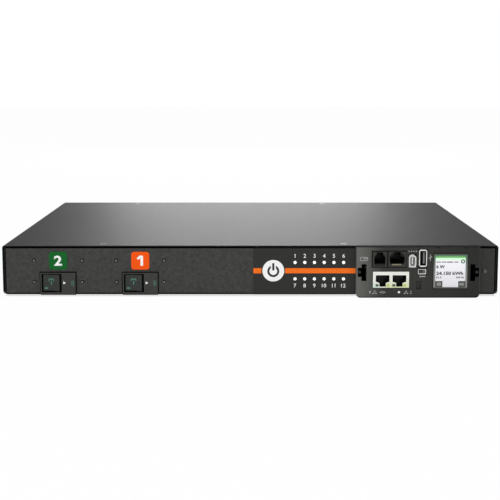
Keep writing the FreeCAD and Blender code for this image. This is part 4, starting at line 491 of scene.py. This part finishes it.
def make_faceplate_paint():
    """The module's moulding with painted light and shade: paler at the left, black round its ports and in
    what is sunk.
    """
    paint = Paint("faceplate_moulding", screen_colour(74, 75, 73), 0.5, sheen=0.2)
    fine = paint.noise(1500.0)
    # Painted light: paler at the left end, darker towards the right
    lit_end, shaded_end = (91.0, 117.0), (150.0, 195.0)
    body = paint.mix(screen_colour(108, 108, 104), screen_colour(52, 52, 49), paint.x.climb(*lit_end))
    body = paint.mix(body, screen_colour(38, 38, 36), paint.x.climb(*shaded_end))
    tone = (fine.swing(0.35) + 0.5).clamped()
    body = paint.mix(grey(40), body, 0.86 + tone * 0.14)
    skin, slot_margin, rim, foot, top_edge = 0.05, 0.1, 0.5, 1.0, 0.35
    behind = paint.y > MODULE_FACE + skin
    # Painted shade, black: below the foot, in the lobes and slots and round the ports
    sunk = paint.z < 0.0
    for x in LOBES:
        sunk = sunk + paint.box_mask(x, LOBE_Z) * behind
    for x in SLOTS:
        sunk = sunk + paint.box_mask(x, SLOT_Z, slot_margin)
    for node, line in SHADOW_LINES.items():
        sunk = sunk + paint.box_mask(reach(node, "x"), reach(node, "z"), line)
    # A painted highlight on the right rim; painted shade on the top and in the reset slot and finger
    # notches
    painted_highlight_rim = (paint.x > MODULE_X[1] - rim) * (paint.z > foot)
    top = paint.z > MODULE_TOP - top_edge
    reset_slot = ((145.3, 149.7), (6.4, 14.2))
    finger_notches = ((162.0, 191.0), (42.8, 44.2))
    layers = (
        (grey(66), painted_highlight_rim),
        (grey(20), top),
        (SHADE_BLACK, sunk.clamped()),
        (grey(42), paint.box_masks(reset_slot, finger_notches) * behind),
    )
    for colour, share in layers:
        body = paint.mix(body, colour, share)
    paint.put("Base Color", body)
    paint.put("Roughness", 0.42 + fine * 0.14 + top * 0.4)
    paint.blacken(sunk)
    paint.bump(fine, 0.00002)
    return paint


def make_tongue_paint():
    """The tongues in the small ports: grey ribs with a painted highlight down the round-topped one, grey
    in the others.
    """
    paint = Paint("port_tongue", grey(90), 0.4)
    fine = paint.noise(900.0, 1.0)
    painted_highlight_rib, second_port, bright_edge = (141.2, 142.4), 146.0, 151.2
    # Painted highlight: a pale band down the middle of the round-topped port's tongue
    ribs = paint.mix(grey(120), grey(226), paint.x.between(*painted_highlight_rib))
    edge = paint.mix(grey(60), grey(120), paint.x > bright_edge)
    body = paint.mix(ribs, edge, paint.x > second_port)
    paint.put("Base Color", paint.mix(body, grey(30), (fine - 0.45).clamped() * 0.8))
    paint.put("Roughness", 0.35 + fine * 0.1)
    return paint


def make_shell_paint():
    """The network jack's plated shell: pale, with a warm and a cool cast low on it."""
    paint = bright_metal("network_shell", (0.86, 0.86, 0.84), 0.35)
    fine = paint.noise(700.0)
    low = 1.0 - paint.z.climb(9.0, 17.0)
    warm = low * paint.x.climb(112.0, 121.0) * 0.75
    cool = low * (1.0 - paint.x.climb(109.0, 114.0)) * 0.8
    body = paint.mix(screen_colour(244, 244, 238), screen_colour(214, 224, 162), warm)
    body = paint.mix(body, screen_colour(206, 228, 212), cool)
    paint.put("Base Color", paint.mix(body, grey(170), (fine - 0.45).clamped() * 0.5))
    paint.put("Metallic", 0.1 + fine * 0.15)
    return paint


def make_breaker_screw_paint():
    """Dark screws with a painted highlight where the small drive sits at the middle of each head."""
    paint = Paint("breaker_screw", grey(40), 0.35, metallic=1.0)
    centre = sum(BREAKERS.values()) / 2
    half = abs(BREAKERS[1] - BREAKERS[2]) / 2
    across = abs(abs(abs(paint.x - centre) - half) - BREAKER_SCREWS[0])
    up = abs(abs(paint.z - BREAKER_SCREW_HEIGHT) - BREAKER_SCREWS[1])
    away = paint.far(across, up)
    fine = paint.noise(900.0)
    # Painted highlight: pale at the middle of each head, dark round it
    body = paint.mix(screen_colour(140, 140, 136), screen_colour(20, 20, 20), away.climb(0.45, 0.85))
    paint.put("Base Color", paint.mix(body, grey(60), (fine - 0.4).clamped() * 0.3))
    paint.put("Metallic", away.climb(0.6, 0.8) * 0.6)
    paint.put("Roughness", 0.4 + fine * 0.1)
    return paint


def make_contact_paint():
    """The jacks' contact wires: gold, and dark in the two upper jacks where little light reaches."""
    paint = Paint("gold_contact", (0.82, 0.62, 0.28), 0.3, metallic=1.0)
    fine = paint.noise(600.0)
    bright = paint.mix((0.70, 0.52, 0.22), (0.90, 0.70, 0.34), fine)
    upper = paint.z > UPPER_JACKS
    paint.put("Base Color", paint.mix(bright, (0.012, 0.011, 0.010), upper))
    paint.put("Roughness", 0.25 + fine * 0.1 + upper * 0.4)
    return paint


def make_tag_paint(name, colour, x):
    """A printed label with a slightly uneven film and a deeper rim."""
    paint = Paint(name, colour, 0.4, sheen=0.15)
    film = paint.noise(500.0)
    body = paint.mottle(colour, 0.92, 1.08, film.swing(0.4))
    rim = (7.6, 8.8)
    across, up = abs(paint.x - x), abs(paint.z - TAG_HEIGHT)
    deeper = (across.climb(*rim) + up.climb(*rim)).clamped()
    paint.put("Base Color", paint.mix(body, shade(colour, 0.72), deeper))
    paint.put("Roughness", 0.36 + film * 0.1)
    return paint


def make_stripe_paint():
    """The orange stripe, browner along its two long edges."""
    paint = Paint("orange_stripe", screen_colour(252, 116, 24), 0.4, sheen=0.15)
    film = paint.noise(500.0)
    body = paint.mix(screen_colour(240, 104, 18), screen_colour(255, 126, 34), film)
    rim = abs(paint.z - STRIPE_HEIGHT).climb(2.0, 2.9)
    paint.put("Base Color", paint.mix(body, screen_colour(150, 62, 12), rim))
    paint.put("Roughness", 0.36 + film * 0.1)
    return paint


def make_overlay_paint():
    """The status film: smooth and dark, with the faintest grain and black edges of painted shade."""
    colour = screen_colour(46, 47, 45)
    paint = Paint("overlay_film", colour, 0.4, sheen=0.15)
    film = paint.noise(1200.0)
    foot = 1.0
    edges = (paint.z < PANEL_Z[0] + foot) + (paint.z > PANEL_Z[1] - HEAD_SHADOW)
    paint.shadow(paint.mottle(colour, 0.9, 1.12, film.swing(0.25)), edges)
    paint.put("Roughness", 0.36 + film * 0.08)
    return paint


def make_glow_paint(name, colour, strength):
    """A light pipe's end, evenly lit."""
    paint = ink(name, colour, roughness=0.3)
    paint.put("Emission Color", colour)
    paint.put("Emission Strength", strength)
    return paint


def make_board_paint():
    """Green solder mask with faint copper tracks under it, painted nearly black as shade where only gaps
    show it.
    """
    colour = (0.012, 0.10, 0.035)
    paint = Paint("solder_mask", colour, 0.35)
    tracks = paint.noise(220.0, 1.0, (1.0, 0.2, 1.0)) > 0.55
    fine = paint.noise(900.0)
    body = paint.mix(colour, (0.03, 0.17, 0.06), tracks * (0.5 + fine * 0.3))
    front = -104.0
    paint.put("Base Color", paint.mix(body, (0.001, 0.002, 0.001), paint.y < front))
    paint.bump(tracks, 0.00003)
    return paint


def make_ethernet_light_paint():
    """The network jack's small lights: green at the left of each port, yellow at the right."""
    paint = Paint("port_light", (0.4, 0.5, 0.1), 0.3)
    first_left, second_left = 116.0, (123.2, 130.5)
    green = (paint.x < first_left) + paint.x.between(*second_left)
    tint = paint.mix(screen_colour(190, 206, 110), screen_colour(44, 74, 54), green.clamped())
    glow = paint.noise(800.0, 1.0)
    paint.put("Base Color", paint.mix(tint, screen_colour(220, 226, 160), glow.swing(0.3)))
    return paint


def make_zinc_paint():
    """Zinc plate, painted black as shade just behind the front where only gaps show it."""
    paint = Paint("zinc_plate", (0.55, 0.56, 0.58), 0.42, metallic=1.0)
    blotch = paint.noise(120.0, 3.0)
    body = paint.mix((0.42, 0.43, 0.45), (0.62, 0.63, 0.66), blotch)
    front = paint.y < -80.0
    paint.put("Base Color", paint.mix(body, HOLLOW_SHADE_BLACK, front))
    paint.put("Roughness", 0.36 + blotch * 0.14)
    paint.blacken(front)
    return paint


def make_tint_paint(name, first, second, axis, parting):
    """Two colours, parted at a place along one axis."""
    paint = Paint(name, first, 0.5)
    fine = paint.noise(900.0)
    body = paint.mix(first, second, getattr(paint, axis) > parting)
    paint.put("Base Color", paint.mix(body, shade(first, 0.8), (fine - 0.4).clamped() * 0.4))
    paint.put("Roughness", 0.45 + fine * 0.1)
    return paint


DRAWN = (1.0, 1.0, 12.0)  # presses the blotches into level streaks

PAINTS = {
    "front": make_front_paint(),
    "cover": make_cover_paint(),
    "tray": make_tray_paint(),
    "zinc": make_zinc_paint(),
    "screw": bright_metal("screw_steel", (0.20, 0.20, 0.20), 0.38),
    "round_screw": bright_metal("round_screw", (0.11, 0.11, 0.11), 0.45),
    "breaker_screw": make_breaker_screw_paint(),
    "bezel": make_bezel_paint(),
    "rocker": moulded("rocker_moulding", screen_colour(50, 54, 51), 0.5, 0.5, sheen=0.2),
    "jack": make_jack_paint(),
    "tag_1": make_tag_paint("orange_label", screen_colour(252, 86, 2), BREAKERS[1]),
    "tag_2": make_tag_paint("green_label", screen_colour(2, 96, 34), BREAKERS[2]),
    "overlay": make_overlay_paint(),
    "stripe": make_stripe_paint(),
    "white": ink("white_ink", (1.0, 1.0, 1.0)),
    "dark_ink": ink("dark_ink", screen_colour(56, 58, 58)),
    "pale_green": ink("pale_green_ink", screen_colour(80, 122, 108)),
    "soft_grey": ink("soft_grey_ink", screen_colour(168, 170, 168)),
    "screen_text": ink("screen_text", screen_colour(70, 70, 78)),
    "screen_green": ink("screen_green", screen_colour(56, 126, 64)),
    "screen_faint": ink("screen_faint", screen_colour(150, 142, 152)),
    "light": make_glow_paint("status_light", (0.95, 0.95, 0.95), 0.4),
    "faceplate": make_faceplate_paint(),
    "display_border": make_display_border_paint(),
    "screen": make_screen_paint(),
    "black": moulded("black_moulding", (0.006, 0.006, 0.006), 0.45, 0.2),
    "insert": moulded("jack_insert", (0.004, 0.004, 0.004), 0.5, 0.2),
    "gold": make_contact_paint(),
    "shell": make_shell_paint(),
    "port_shell": make_port_shell_paint(),
    "tongue": make_tongue_paint(),
    "port_rim": ink("port_rim", screen_colour(206, 206, 202)),
    "olive": ink("contact_olive", screen_colour(134, 132, 104)),
    "port_light": make_ethernet_light_paint(),
    "board": make_board_paint(),
    "outlet": moulded("outlet_moulding", (0.012, 0.012, 0.012), 0.42, 0.3),
    "nickel": bright_metal("nickel_blade", (0.70, 0.68, 0.64), 0.25, DRAWN),
    "brass": bright_metal("brass_stud", (0.72, 0.52, 0.24), 0.3, DRAWN),
    "copper": bright_metal("copper_bar", (0.72, 0.36, 0.22), 0.35, DRAWN),
    "relay": moulded("relay_case", (0.02, 0.02, 0.022), 0.4, 0.2),
    "supply": make_tint_paint("supply_block", (0.05, 0.05, 0.16), (0.03, 0.03, 0.03), "y", 2.5),
    "block": moulded("terminal_moulding", (0.03, 0.22, 0.06), 0.45, 0.2),
    "nylon": moulded("nylon_spacer", (0.55, 0.55, 0.52), 0.5, 0.1),
    "wire": make_tint_paint("wire_insulation", (0.03, 0.03, 0.03), (0.02, 0.06, 0.3), "z", 14.0),
    "ribbon": moulded("ribbon_cable", (0.35, 0.35, 0.36), 0.6, 0.1),
}

NODE_PAINTS = {
    "front": ["front_panel"],
    "cover": ["top_cover"],
    "tray": ["chassis_tray"],
    "zinc": ["breaker_brackets", "module_housing", "breaker_terminals"],
    "screw": ["cover_screws", "inlet_screws"],
    "round_screw": ["panel_screw"],
    "breaker_screw": ["breaker_screws"],
    "bezel": ["breaker_1_bezel", "breaker_2_bezel", "breaker_1_case", "breaker_2_case"],
    "rocker": ["breaker_1_rocker", "breaker_2_rocker"],
    "tag_1": ["tag_1"],
    "tag_2": ["tag_2"],
    "overlay": ["status_overlay"],
    "stripe": ["status_stripe"],
    "white": ["emblem_disc"],
    "light": ["status_lights"],
    "faceplate": ["module_faceplate"],
    "display_border": ["display_bezel"],
    "screen": ["display_panel"],
    "jack": ["sensor_jack", "serial_jack"],
    "black": ["module_screws", "reset_button", "reset_switch", "current_sensors"],
    "insert": ["ethernet_inserts"],
    "gold": ["jack_contacts"],
    "shell": ["ethernet_shell"],
    "port_shell": ["aux_port_shell", "usb_port_shell", "mini_port_shell"],
    "tongue": ["port_tongues"],
    "port_light": ["ethernet_lights"],
    "board": ["status_board", "module_board", "main_board", "outlet_board"],
    "outlet": ["outlet_bank_1", "outlet_bank_2", "inlet_1", "inlet_2"],
    "nickel": ["inlet_blades", "outlet_contacts"],
    "brass": ["earth_stud", "earth_nut"],
    "copper": ["bus_bars"],
    "relay": ["outlet_relays", "transfer_relays"],
    "supply": ["power_supply"],
    "block": ["terminal_blocks"],
    "nylon": ["board_spacers"],
    "wire": ["supply_wires"],
    "ribbon": ["ribbon_cable"],
}


def paint_nodes():
    """Every solid from the frame gets its finish."""
    for paint, names in NODE_PAINTS.items():
        for name in names:
            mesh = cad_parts[name].data
            mesh.materials.clear()
            mesh.materials.append(PAINTS[paint].material)


# Prints and marks, each a thin raised film on what carries it


def pick_only(piece):
    """Select one piece and make it the active one."""
    bpy.ops.object.select_all(action="DESELECT")
    piece.select_set(True)
    bpy.context.view_layer.objects.active = piece


def settle(piece, name, paint, body="chassis"):
    """Put a piece's place into its mesh, and give it a name, a finish and a body to ride on."""
    pick_only(piece)
    bpy.ops.object.transform_apply(location=True, rotation=True, scale=True)
    piece.name = name
    piece.data.name = name
    piece.data.materials.clear()
    piece.data.materials.append(PAINTS[paint].material)
    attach(piece, body)


def thicken(piece, way=(0, -1, 0)):
    """Raise a flat outline from its face by the thickness of its ink."""
    pick_only(piece)
    bpy.ops.object.mode_set(mode="EDIT")
    bpy.ops.mesh.select_all(action="SELECT")
    rise = tuple(part * INK for part in way)
    bpy.ops.mesh.extrude_region_move(TRANSFORM_OT_translate={"value": rise})
    bpy.ops.mesh.select_all(action="SELECT")
    bpy.ops.mesh.normals_make_consistent(inside=False)
    bpy.ops.object.mode_set(mode="OBJECT")


def lettering(name, words, span, centre, face, paint, slot, bold=0.0):
    """Words on a face that looks forwards. A span of 0 across keeps the letters' own proportions."""
    bpy.ops.object.text_add(rotation=(math.pi / 2, 0, 0))
    piece = bpy.context.object
    piece.data.body = words
    piece.data.offset = bold
    piece.data.resolution_u = 4
    pick_only(piece)
    bpy.ops.object.convert(target="MESH")
    bpy.ops.object.origin_set(type="ORIGIN_GEOMETRY", center="BOUNDS")
    tall = span[1] * MM / piece.dimensions.y
    across = span[0] * MM / piece.dimensions.x if span[0] else tall
    piece.scale = (across, tall, 1.0)
    piece.location = (centre[0] * MM, face * MM, centre[1] * MM)
    bpy.ops.object.transform_apply(location=True, rotation=True, scale=True)
    thicken(piece)
    settle(piece, name, paint)


def outline(centre, span, face, sides=4, corner=0.0, line=0.0, turn=0.0):
    """A flat bar, disc, triangle or, with a line width, an open frame or ring that looks forwards."""
    place = (centre[0] * MM, face * MM, centre[1] * MM)
    facing = (math.pi / 2, math.radians(turn), 0)
    if sides == 4:
        bpy.ops.mesh.primitive_plane_add(size=1.0, location=place, rotation=facing)
    else:
        bpy.ops.mesh.primitive_circle_add(vertices=sides, radius=0.5, fill_type="NGON",
                                          location=place, rotation=facing)
    piece = bpy.context.object
    piece.scale = (span[0] * MM, span[1] * MM, 1.0)
    pick_only(piece)
    bpy.ops.object.transform_apply(location=True, rotation=True, scale=True)
    bpy.ops.object.mode_set(mode="EDIT")
    bpy.ops.mesh.select_all(action="SELECT")
    if corner:
        bpy.ops.mesh.bevel(offset=corner * MM, segments=3, affect="VERTICES")
    if line:
        bpy.ops.mesh.select_all(action="SELECT")
        bpy.ops.mesh.inset(thickness=line * MM)
        bpy.ops.mesh.delete(type="FACE")
    bpy.ops.object.mode_set(mode="OBJECT")
    return piece


def mark(name, centre, span, face, paint, slot, **shape):
    """A raised print of a plain shape."""
    piece = outline(centre, span, face, **shape)
    thicken(piece)
    settle(piece, name, paint)
    return piece


def mark_on(node, name, centre, span, paint, slot, **shape):
    """A print laid on a moving node's sloping face, made in front of it and pressed back."""
    piece = outline(centre, span, MODULE_FACE, **shape)
    pick_only(piece)
    bpy.ops.object.mode_set(mode="EDIT")
    bpy.ops.mesh.select_all(action="SELECT")
    bpy.ops.mesh.quads_convert_to_tris()
    bpy.ops.mesh.subdivide(number_cuts=3)
    bpy.ops.object.mode_set(mode="OBJECT")
    wrap = piece.modifiers.new("lay", "SHRINKWRAP")
    wrap.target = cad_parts[node]
    wrap.wrap_method = "PROJECT"
    wrap.use_project_y = True
    wrap.use_negative_direction = True
    wrap.use_positive_direction = True
    bpy.ops.object.modifier_apply(modifier="lay")
    thicken(piece)
    settle(piece, name, paint, node)


def united(pieces):
    """Several flat or raised shapes as one mesh."""
    bpy.ops.object.select_all(action="DESELECT")
    for piece in pieces:
        piece.select_set(True)
    bpy.context.view_layer.objects.active = pieces[0]
    bpy.ops.object.join()
    return bpy.context.object


def print_tags():
    """The large white numbers over the breakers."""
    x, tall = BREAKERS[1], 9.1
    set_back = 0.02  # keeps the faces of the two strokes apart
    stem = outline((x + 1.3, TAG_HEIGHT), (2.3, tall), TAG_FACE, corner=0.25)
    flag = outline((x - 0.9, TAG_HEIGHT + 2.9), (1.9, 4.4), TAG_FACE + set_back, corner=0.25, turn=52.0)
    one = united([stem, flag])
    thicken(one)
    settle(one, "tag_number_1", "white")
    place = (BREAKERS[2], TAG_HEIGHT)
    lettering("tag_number_2", "2", (7.2, tall), place, TAG_FACE, "white", "tag_green", 0.03)


def print_breaker(number, place):
    """The marks on one breaker's rocker and bezel, each from the breaker's middle."""
    node = f"breaker_{number}_rocker"
    strokes = {
        "cap": ((-6.0, 14.3), (4.8, 1.1), 0.4),
        "cap_left": ((-8.2, 13.3), (0.9, 1.2), 0.2),
        "cap_right": ((-3.8, 13.3), (0.9, 1.2), 0.2),
        "stem": ((-5.95, 11.1), (1.1, 3.4), 0.3),
        "foot": ((-10.6, 6.2), (3.2, 1.6), 0.5),
    }
    for stroke, ((shift, z), span, corner) in strokes.items():
        name = f"rocker_{stroke}_{number}"
        mark_on(node, name, (place + shift, z), span, "pale_green", "rocker_plastic", corner=corner)
    signs = {
        "arrow": ((5.6, 11.2), (2.9, 2.9), "white", {"sides": 3, "turn": 90.0}),
        "box": ((13.0, 12.35), (2.6, 1.8), "pale_green", {"corner": 0.3, "line": 0.4}),
        "ring": ((13.0, 9.9), (2.7, 2.7), "pale_green", {"sides": 16, "line": 0.5}),
    }
    for sign, ((shift, z), span, paint, shape) in signs.items():
        name = f"bezel_{sign}_{number}"
        mark(name, (place + shift, z), span, BEZEL_FACE, paint, "breaker_plastic", **shape)


def print_breakers():
    for number, place in BREAKERS.items():
        print_breaker(number, place)


def print_status_numerals():
    """The numerals 1 to 12 beside the status lights."""
    span = (0, 3.5)
    for index in range(6):
        x = FIRST_LIGHT + index * LIGHT_PITCH
        for number, z in ((index + 1, UPPER_NUMERALS), (index + 7, LOWER_NUMERALS)):
            name = f"numeral_{number}"
            lettering(name, str(number), span, (x, z), OVERLAY_FACE, "white", "overlay_film", 0.015)


def print_power_sign():
    """A plain power sign on the white disc: an open ring and a bar."""
    x, z = DISC
    look = (DISC_FACE, "dark_ink", "disc_white")
    gap = 2.2  # half the ring's opening
    ring = mark("power_ring", (x, z - 0.4), (10.6, 10.6), *look, sides=40, line=1.9)
    pick_only(ring)
    bpy.ops.object.mode_set(mode="EDIT")
    for side in (-1, 1):
        bpy.ops.mesh.select_all(action="SELECT")
        bpy.ops.mesh.bisect(plane_co=((x + side * gap) * MM, 0, z * MM), plane_no=(1, 0, 0))
    bpy.ops.object.mode_set(mode="OBJECT")
    for face in ring.data.polygons:
        near = abs(face.center.x - x * MM) < (gap - 0.05) * MM
        face.select = near and face.center.z > (z + 1.0) * MM
    bpy.ops.object.mode_set(mode="EDIT")
    bpy.ops.mesh.select_mode(type="FACE")
    bpy.ops.mesh.delete(type="FACE")
    bpy.ops.mesh.select_mode(type="VERT")
    bpy.ops.object.mode_set(mode="OBJECT")
    mark("power_bar", (x, z + 3.6), (1.9, 6.6), *look, corner=0.5)


def module_sign(name, centre, span, paint="soft_grey", **shape):
    """A small print of a plain shape on the module's face."""
    mark(name, centre, span, MODULE_FACE, paint, "module_plastic", **shape)


def print_latch_sign():
    """A ring and a bar over the left latch slot."""
    module_sign("latch_sign_ring", (99.4, 33.8), (7.4, 3.4), corner=1.5, line=0.5)
    module_sign("latch_sign_bar", (101.0, 34.1), (4.4, 0.7), corner=0.3)


def print_port_signs():
    """The signs beside the small ports, and the round-topped port's pale rim."""
    rim = {"corner": 2.6, "line": 1.35}
    mark("aux_rim", (141.85, 31.65), (6.5, 10.8), MODULE_FACE, "port_rim", "shell_metal", **rim)
    for index, x in enumerate((138.7, 140.8, 142.9, 145.0)):
        turn = 180.0 * (index % 2)
        module_sign(f"aux_sign_{index}", (x, 40.6), (1.5, 1.7), sides=3, turn=turn)
    module_sign("bus_sign_stem", (157.4, 34.8), (0.55, 5.4), corner=0.15)
    module_sign("bus_sign_tip", (157.4, 37.4), (1.5, 1.5), sides=3)
    module_sign("bus_sign_left", (156.5, 34.6), (0.9, 0.9), corner=0.2)
    module_sign("bus_sign_right", (158.4, 35.6), (0.9, 0.9), sides=12)
    module_sign("mini_sign", (150.6, 18.2), (5.4, 0.9), corner=0.3)
    mark("serial_lip", (127.9, 28.8), (8.0, 1.1), JACK_FACE, "olive", "jack_black", corner=0.2)


def print_network_box_sign(label, x):
    """Three joined boxes, one over two."""
    boxes = (
        ((x, 4.9), (1.3, 1.0)),
        ((x - 1.2, 3.1), (1.3, 1.0)),
        ((x + 1.2, 3.1), (1.3, 1.0)),
        ((x, 4.0), (0.35, 1.0)),
    )
    sign = united([outline(centre, span, MODULE_FACE) for centre, span in boxes])
    thicken(sign)
    settle(sign, f"network_sign_{label}", "soft_grey")


def print_network_signs():
    """The row of numbers and signs under the network jack."""
    look = (MODULE_FACE, "soft_grey", "module_plastic")
    lettering("network_number_1", "1", (1.3, 2.5), (104.9, 4.1), *look, 0.03)
    lettering("network_number_2", "2", (1.6, 2.6), (140.8, 4.0), *look, 0.015)
    print_network_box_sign("left", 109.0)
    print_network_box_sign("right", 136.6)
    module_sign("arrow_left", (114.2, 4.1), (1.7, 1.7), sides=3, turn=-90.0)
    module_sign("arrow_middle", (116.05, 4.1), (1.9, 1.9), line=0.35, turn=45.0)
    module_sign("arrow_right", (117.9, 4.1), (1.7, 1.7), sides=3, turn=90.0)
    module_sign("link_dot", (130.3, 4.2), (1.9, 1.9), "white", sides=20)


def print_screen():
    """The screen's readings, a line of faint words as bars, and a ring."""
    slot = "display_screen"
    readings = {
        "power": ("6 W", (7.4, 3.0), (166.4, 26.9), 0.04),
        "energy": ("24.150 kWh", (23.6, 3.0), (174.5, 21.0), 0.04),
        "current": ("0.2 A", (4.8, 1.7), (165.0, 17.4), 0.03),
        "frequency": ("50.0 Hz", (6.9, 1.7), (183.7, 17.4), 0.03),
    }
    for reading, (words, span, centre, bold) in readings.items():
        lettering(f"reading_{reading}", words, span, centre, MODULE_FACE, "screen_text", slot, bold)
    z, tall = 31.0, 1.2
    bars = ((162.6, 167.0), (167.6, 171.4), (171.9, 177.2), (178.2, 182.0))
    for index, (left, right) in enumerate(bars):
        paint = "screen_faint" if index == 2 else "soft_grey"
        centre, span = ((left + right) / 2, z), (right - left, tall)
        mark(f"screen_line_{index}", centre, span, MODULE_FACE, paint, slot, corner=0.3)
    ring = {"sides": 24, "line": 0.9}
    mark("screen_ring", (185.9, 31.6), (3.7, 3.7), MODULE_FACE, "screen_green", slot, **ring)


def cross_recess(name, place, facing, way, width):
    """A screw's cross recess, as a thin dark inlay of painted shade on its head."""
    narrow = width * 0.24
    bars = []
    for span in ((width, narrow), (narrow, width)):
        location = [part * MM for part in place]
        bpy.ops.mesh.primitive_plane_add(size=1.0, location=location, rotation=facing)
        bar = bpy.context.object
        bar.scale = (span[0] * MM, span[1] * MM, 1.0)
        pick_only(bar)
        bpy.ops.object.transform_apply(location=True, rotation=True, scale=True)
        bars.append(bar)
    piece = united(bars)
    thicken(piece, way)
    settle(piece, name, "insert")


def print_screw_recesses():
    """The drives of the screws in the cover and in the inlets, as painted shade."""
    spots = [(x, y, COVER_TOP) for x in COVER_SCREWS_X for y in COVER_SCREWS_Y]
    for index, spot in enumerate(spots, 1):
        cross_recess(f"cover_screw_drive_shade_{index}", spot, (0, 0, 0), (0, 0, 1), 2.6)
    turned = (math.pi / 2, 0, math.pi)
    for index, x in enumerate(INLET_SCREWS_X, 1):
        spot = (x, INLET_SCREW_FACE, INLET_SCREW_HEIGHT)
        cross_recess(f"inlet_screw_drive_shade_{index}", spot, turned, (0, 1, 0), 2.0)


# The studio, in metres

WHITE = (1.0, 1.0, 1.0)
FLOOR_RADIUS = 4.0
FLOOR_GAP = 0.0002  # under the part's foot
FLOOR_WHITE = 0.97  # the share of plain white over the floor's own light and shadow
CONTACT_FRONT = (-0.1186, -0.1178)  # where the shadow under the front's foot begins and is full
CONTACT_REAR = 0.1175
CONTACT_HALF = 0.2175
CONTACT_DEPTH = 0.3
SHINE_REACH = 0.33  # how far to each side what shines white reaches
SIDE_SHINE = 0.2
LIGHT_LEVEL = 0.5


def make_floor_paint():
    """A pale floor that shows white to the camera and still takes a soft shadow."""
    material = bpy.data.materials.new("studio_floor")
    material.use_nodes = True
    graph = Graph(material.node_tree)
    graph.tree.nodes.clear()
    plain = graph.node("ShaderNodeBsdfDiffuse", inputs={"Color": (0.9, 0.9, 0.9)})
    white = graph.node("ShaderNodeEmission", inputs={"Color": WHITE, "Strength": 1.0})
    x, y = graph.split(graph.node("ShaderNodeTexCoord", output="Object"))[:2]
    # Under the front's foot the floor shows less white: its real shadow there, deepened by painted shade
    contact = y.climb(*CONTACT_FRONT) * (y < CONTACT_REAR) * (abs(x) < CONTACT_HALF)
    share = graph.seen() * (FLOOR_WHITE - contact * CONTACT_DEPTH)
    blend = graph.node("ShaderNodeMixShader", inputs={0: share, 1: plain, 2: white})
    graph.node("ShaderNodeOutputMaterial", inputs={"Surface": blend})
    return material


def make_floor():
    """A wide disc just under the part."""
    place = (0, 0, cad_box[0][2] - FLOOR_GAP)
    bpy.ops.mesh.primitive_circle_add(vertices=64, radius=FLOOR_RADIUS, fill_type="NGON", location=place)
    floor = bpy.context.object
    floor.name = "studio_floor"
    floor.data.materials.append(make_floor_paint())


def make_world():
    """White to the camera, plain as light, and in what shines white behind the part but grey beside it."""
    world = bpy.data.worlds.new("studio")
    bpy.context.scene.world = world
    world.use_nodes = True
    graph = Graph(world.node_tree)
    graph.tree.nodes.clear()
    x, y = graph.split(graph.node("ShaderNodeTexCoord", output="Generated"))[:2]
    bell = (1.0 - (x / SHINE_REACH) * (x / SHINE_REACH)).clamped()
    behind = y > 0.0
    shine = (1.0 - behind) * SIDE_SHINE + behind * bell * bell
    seen = graph.seen()
    mirrored = graph.ray("Glossy")
    strength = seen * (1.0 - mirrored * (1.0 - shine)) + (1.0 - seen) * LIGHT_LEVEL
    light = graph.node("ShaderNodeBackground", inputs={"Color": WHITE, "Strength": strength})
    graph.node("ShaderNodeOutputWorld", inputs={"Surface": light})


def add_lamp(name, place, target, size, watts):
    """A soft rectangular lamp that looks at a point."""
    bpy.ops.object.light_add(type="AREA", location=place)
    lamp = bpy.context.object
    lamp.name = name
    lamp.data.shape = "RECTANGLE"
    lamp.data.size = size[0]
    lamp.data.size_y = size[1]
    lamp.data.energy = watts
    lamp.visible_camera = False
    aim = Vector(target) - Vector(place)
    lamp.rotation_euler = aim.to_track_quat("-Z", "Y").to_euler()


def make_lamps():
    """One lamp in front, one overhead and a low one behind for the cover's highlight."""
    add_lamp("front_lamp", (-0.3, -1.6, 0.9), (0, 0, 0.02), (1.4, 0.9), 13.0)
    add_lamp("overhead_lamp", (0.0, 0.1, 1.6), (0, 0, 0), (1.2, 1.0), 3.5)
    add_lamp("rear_lamp", (-0.01, 1.25, 0.3), (-0.01, 0, 0.03), (0.7, 0.34), 3.9)


def make_camera():
    """The photograph's view: centred, a little above the front and tilted down."""
    place = (0.0, -0.81, 0.1958)
    tilt = 5.05
    bpy.ops.object.camera_add(location=place, rotation=(math.radians(90.0 - tilt), 0, 0))
    camera = bpy.context.object
    camera.name = "photo_camera"
    camera.data.sensor_width = 36.0
    camera.data.lens = 57.45
    camera.data.shift_x = -0.0006
    camera.data.shift_y = -0.2134
    bpy.context.scene.camera = camera


paint_nodes()
print_tags()
print_breakers()
print_status_numerals()
print_power_sign()
print_latch_sign()
print_port_signs()
print_network_signs()
print_screen()
print_screw_recesses()
make_floor()
make_world()
make_lamps()
make_camera()
bpy.context.scene.view_settings.view_transform = "Standard"
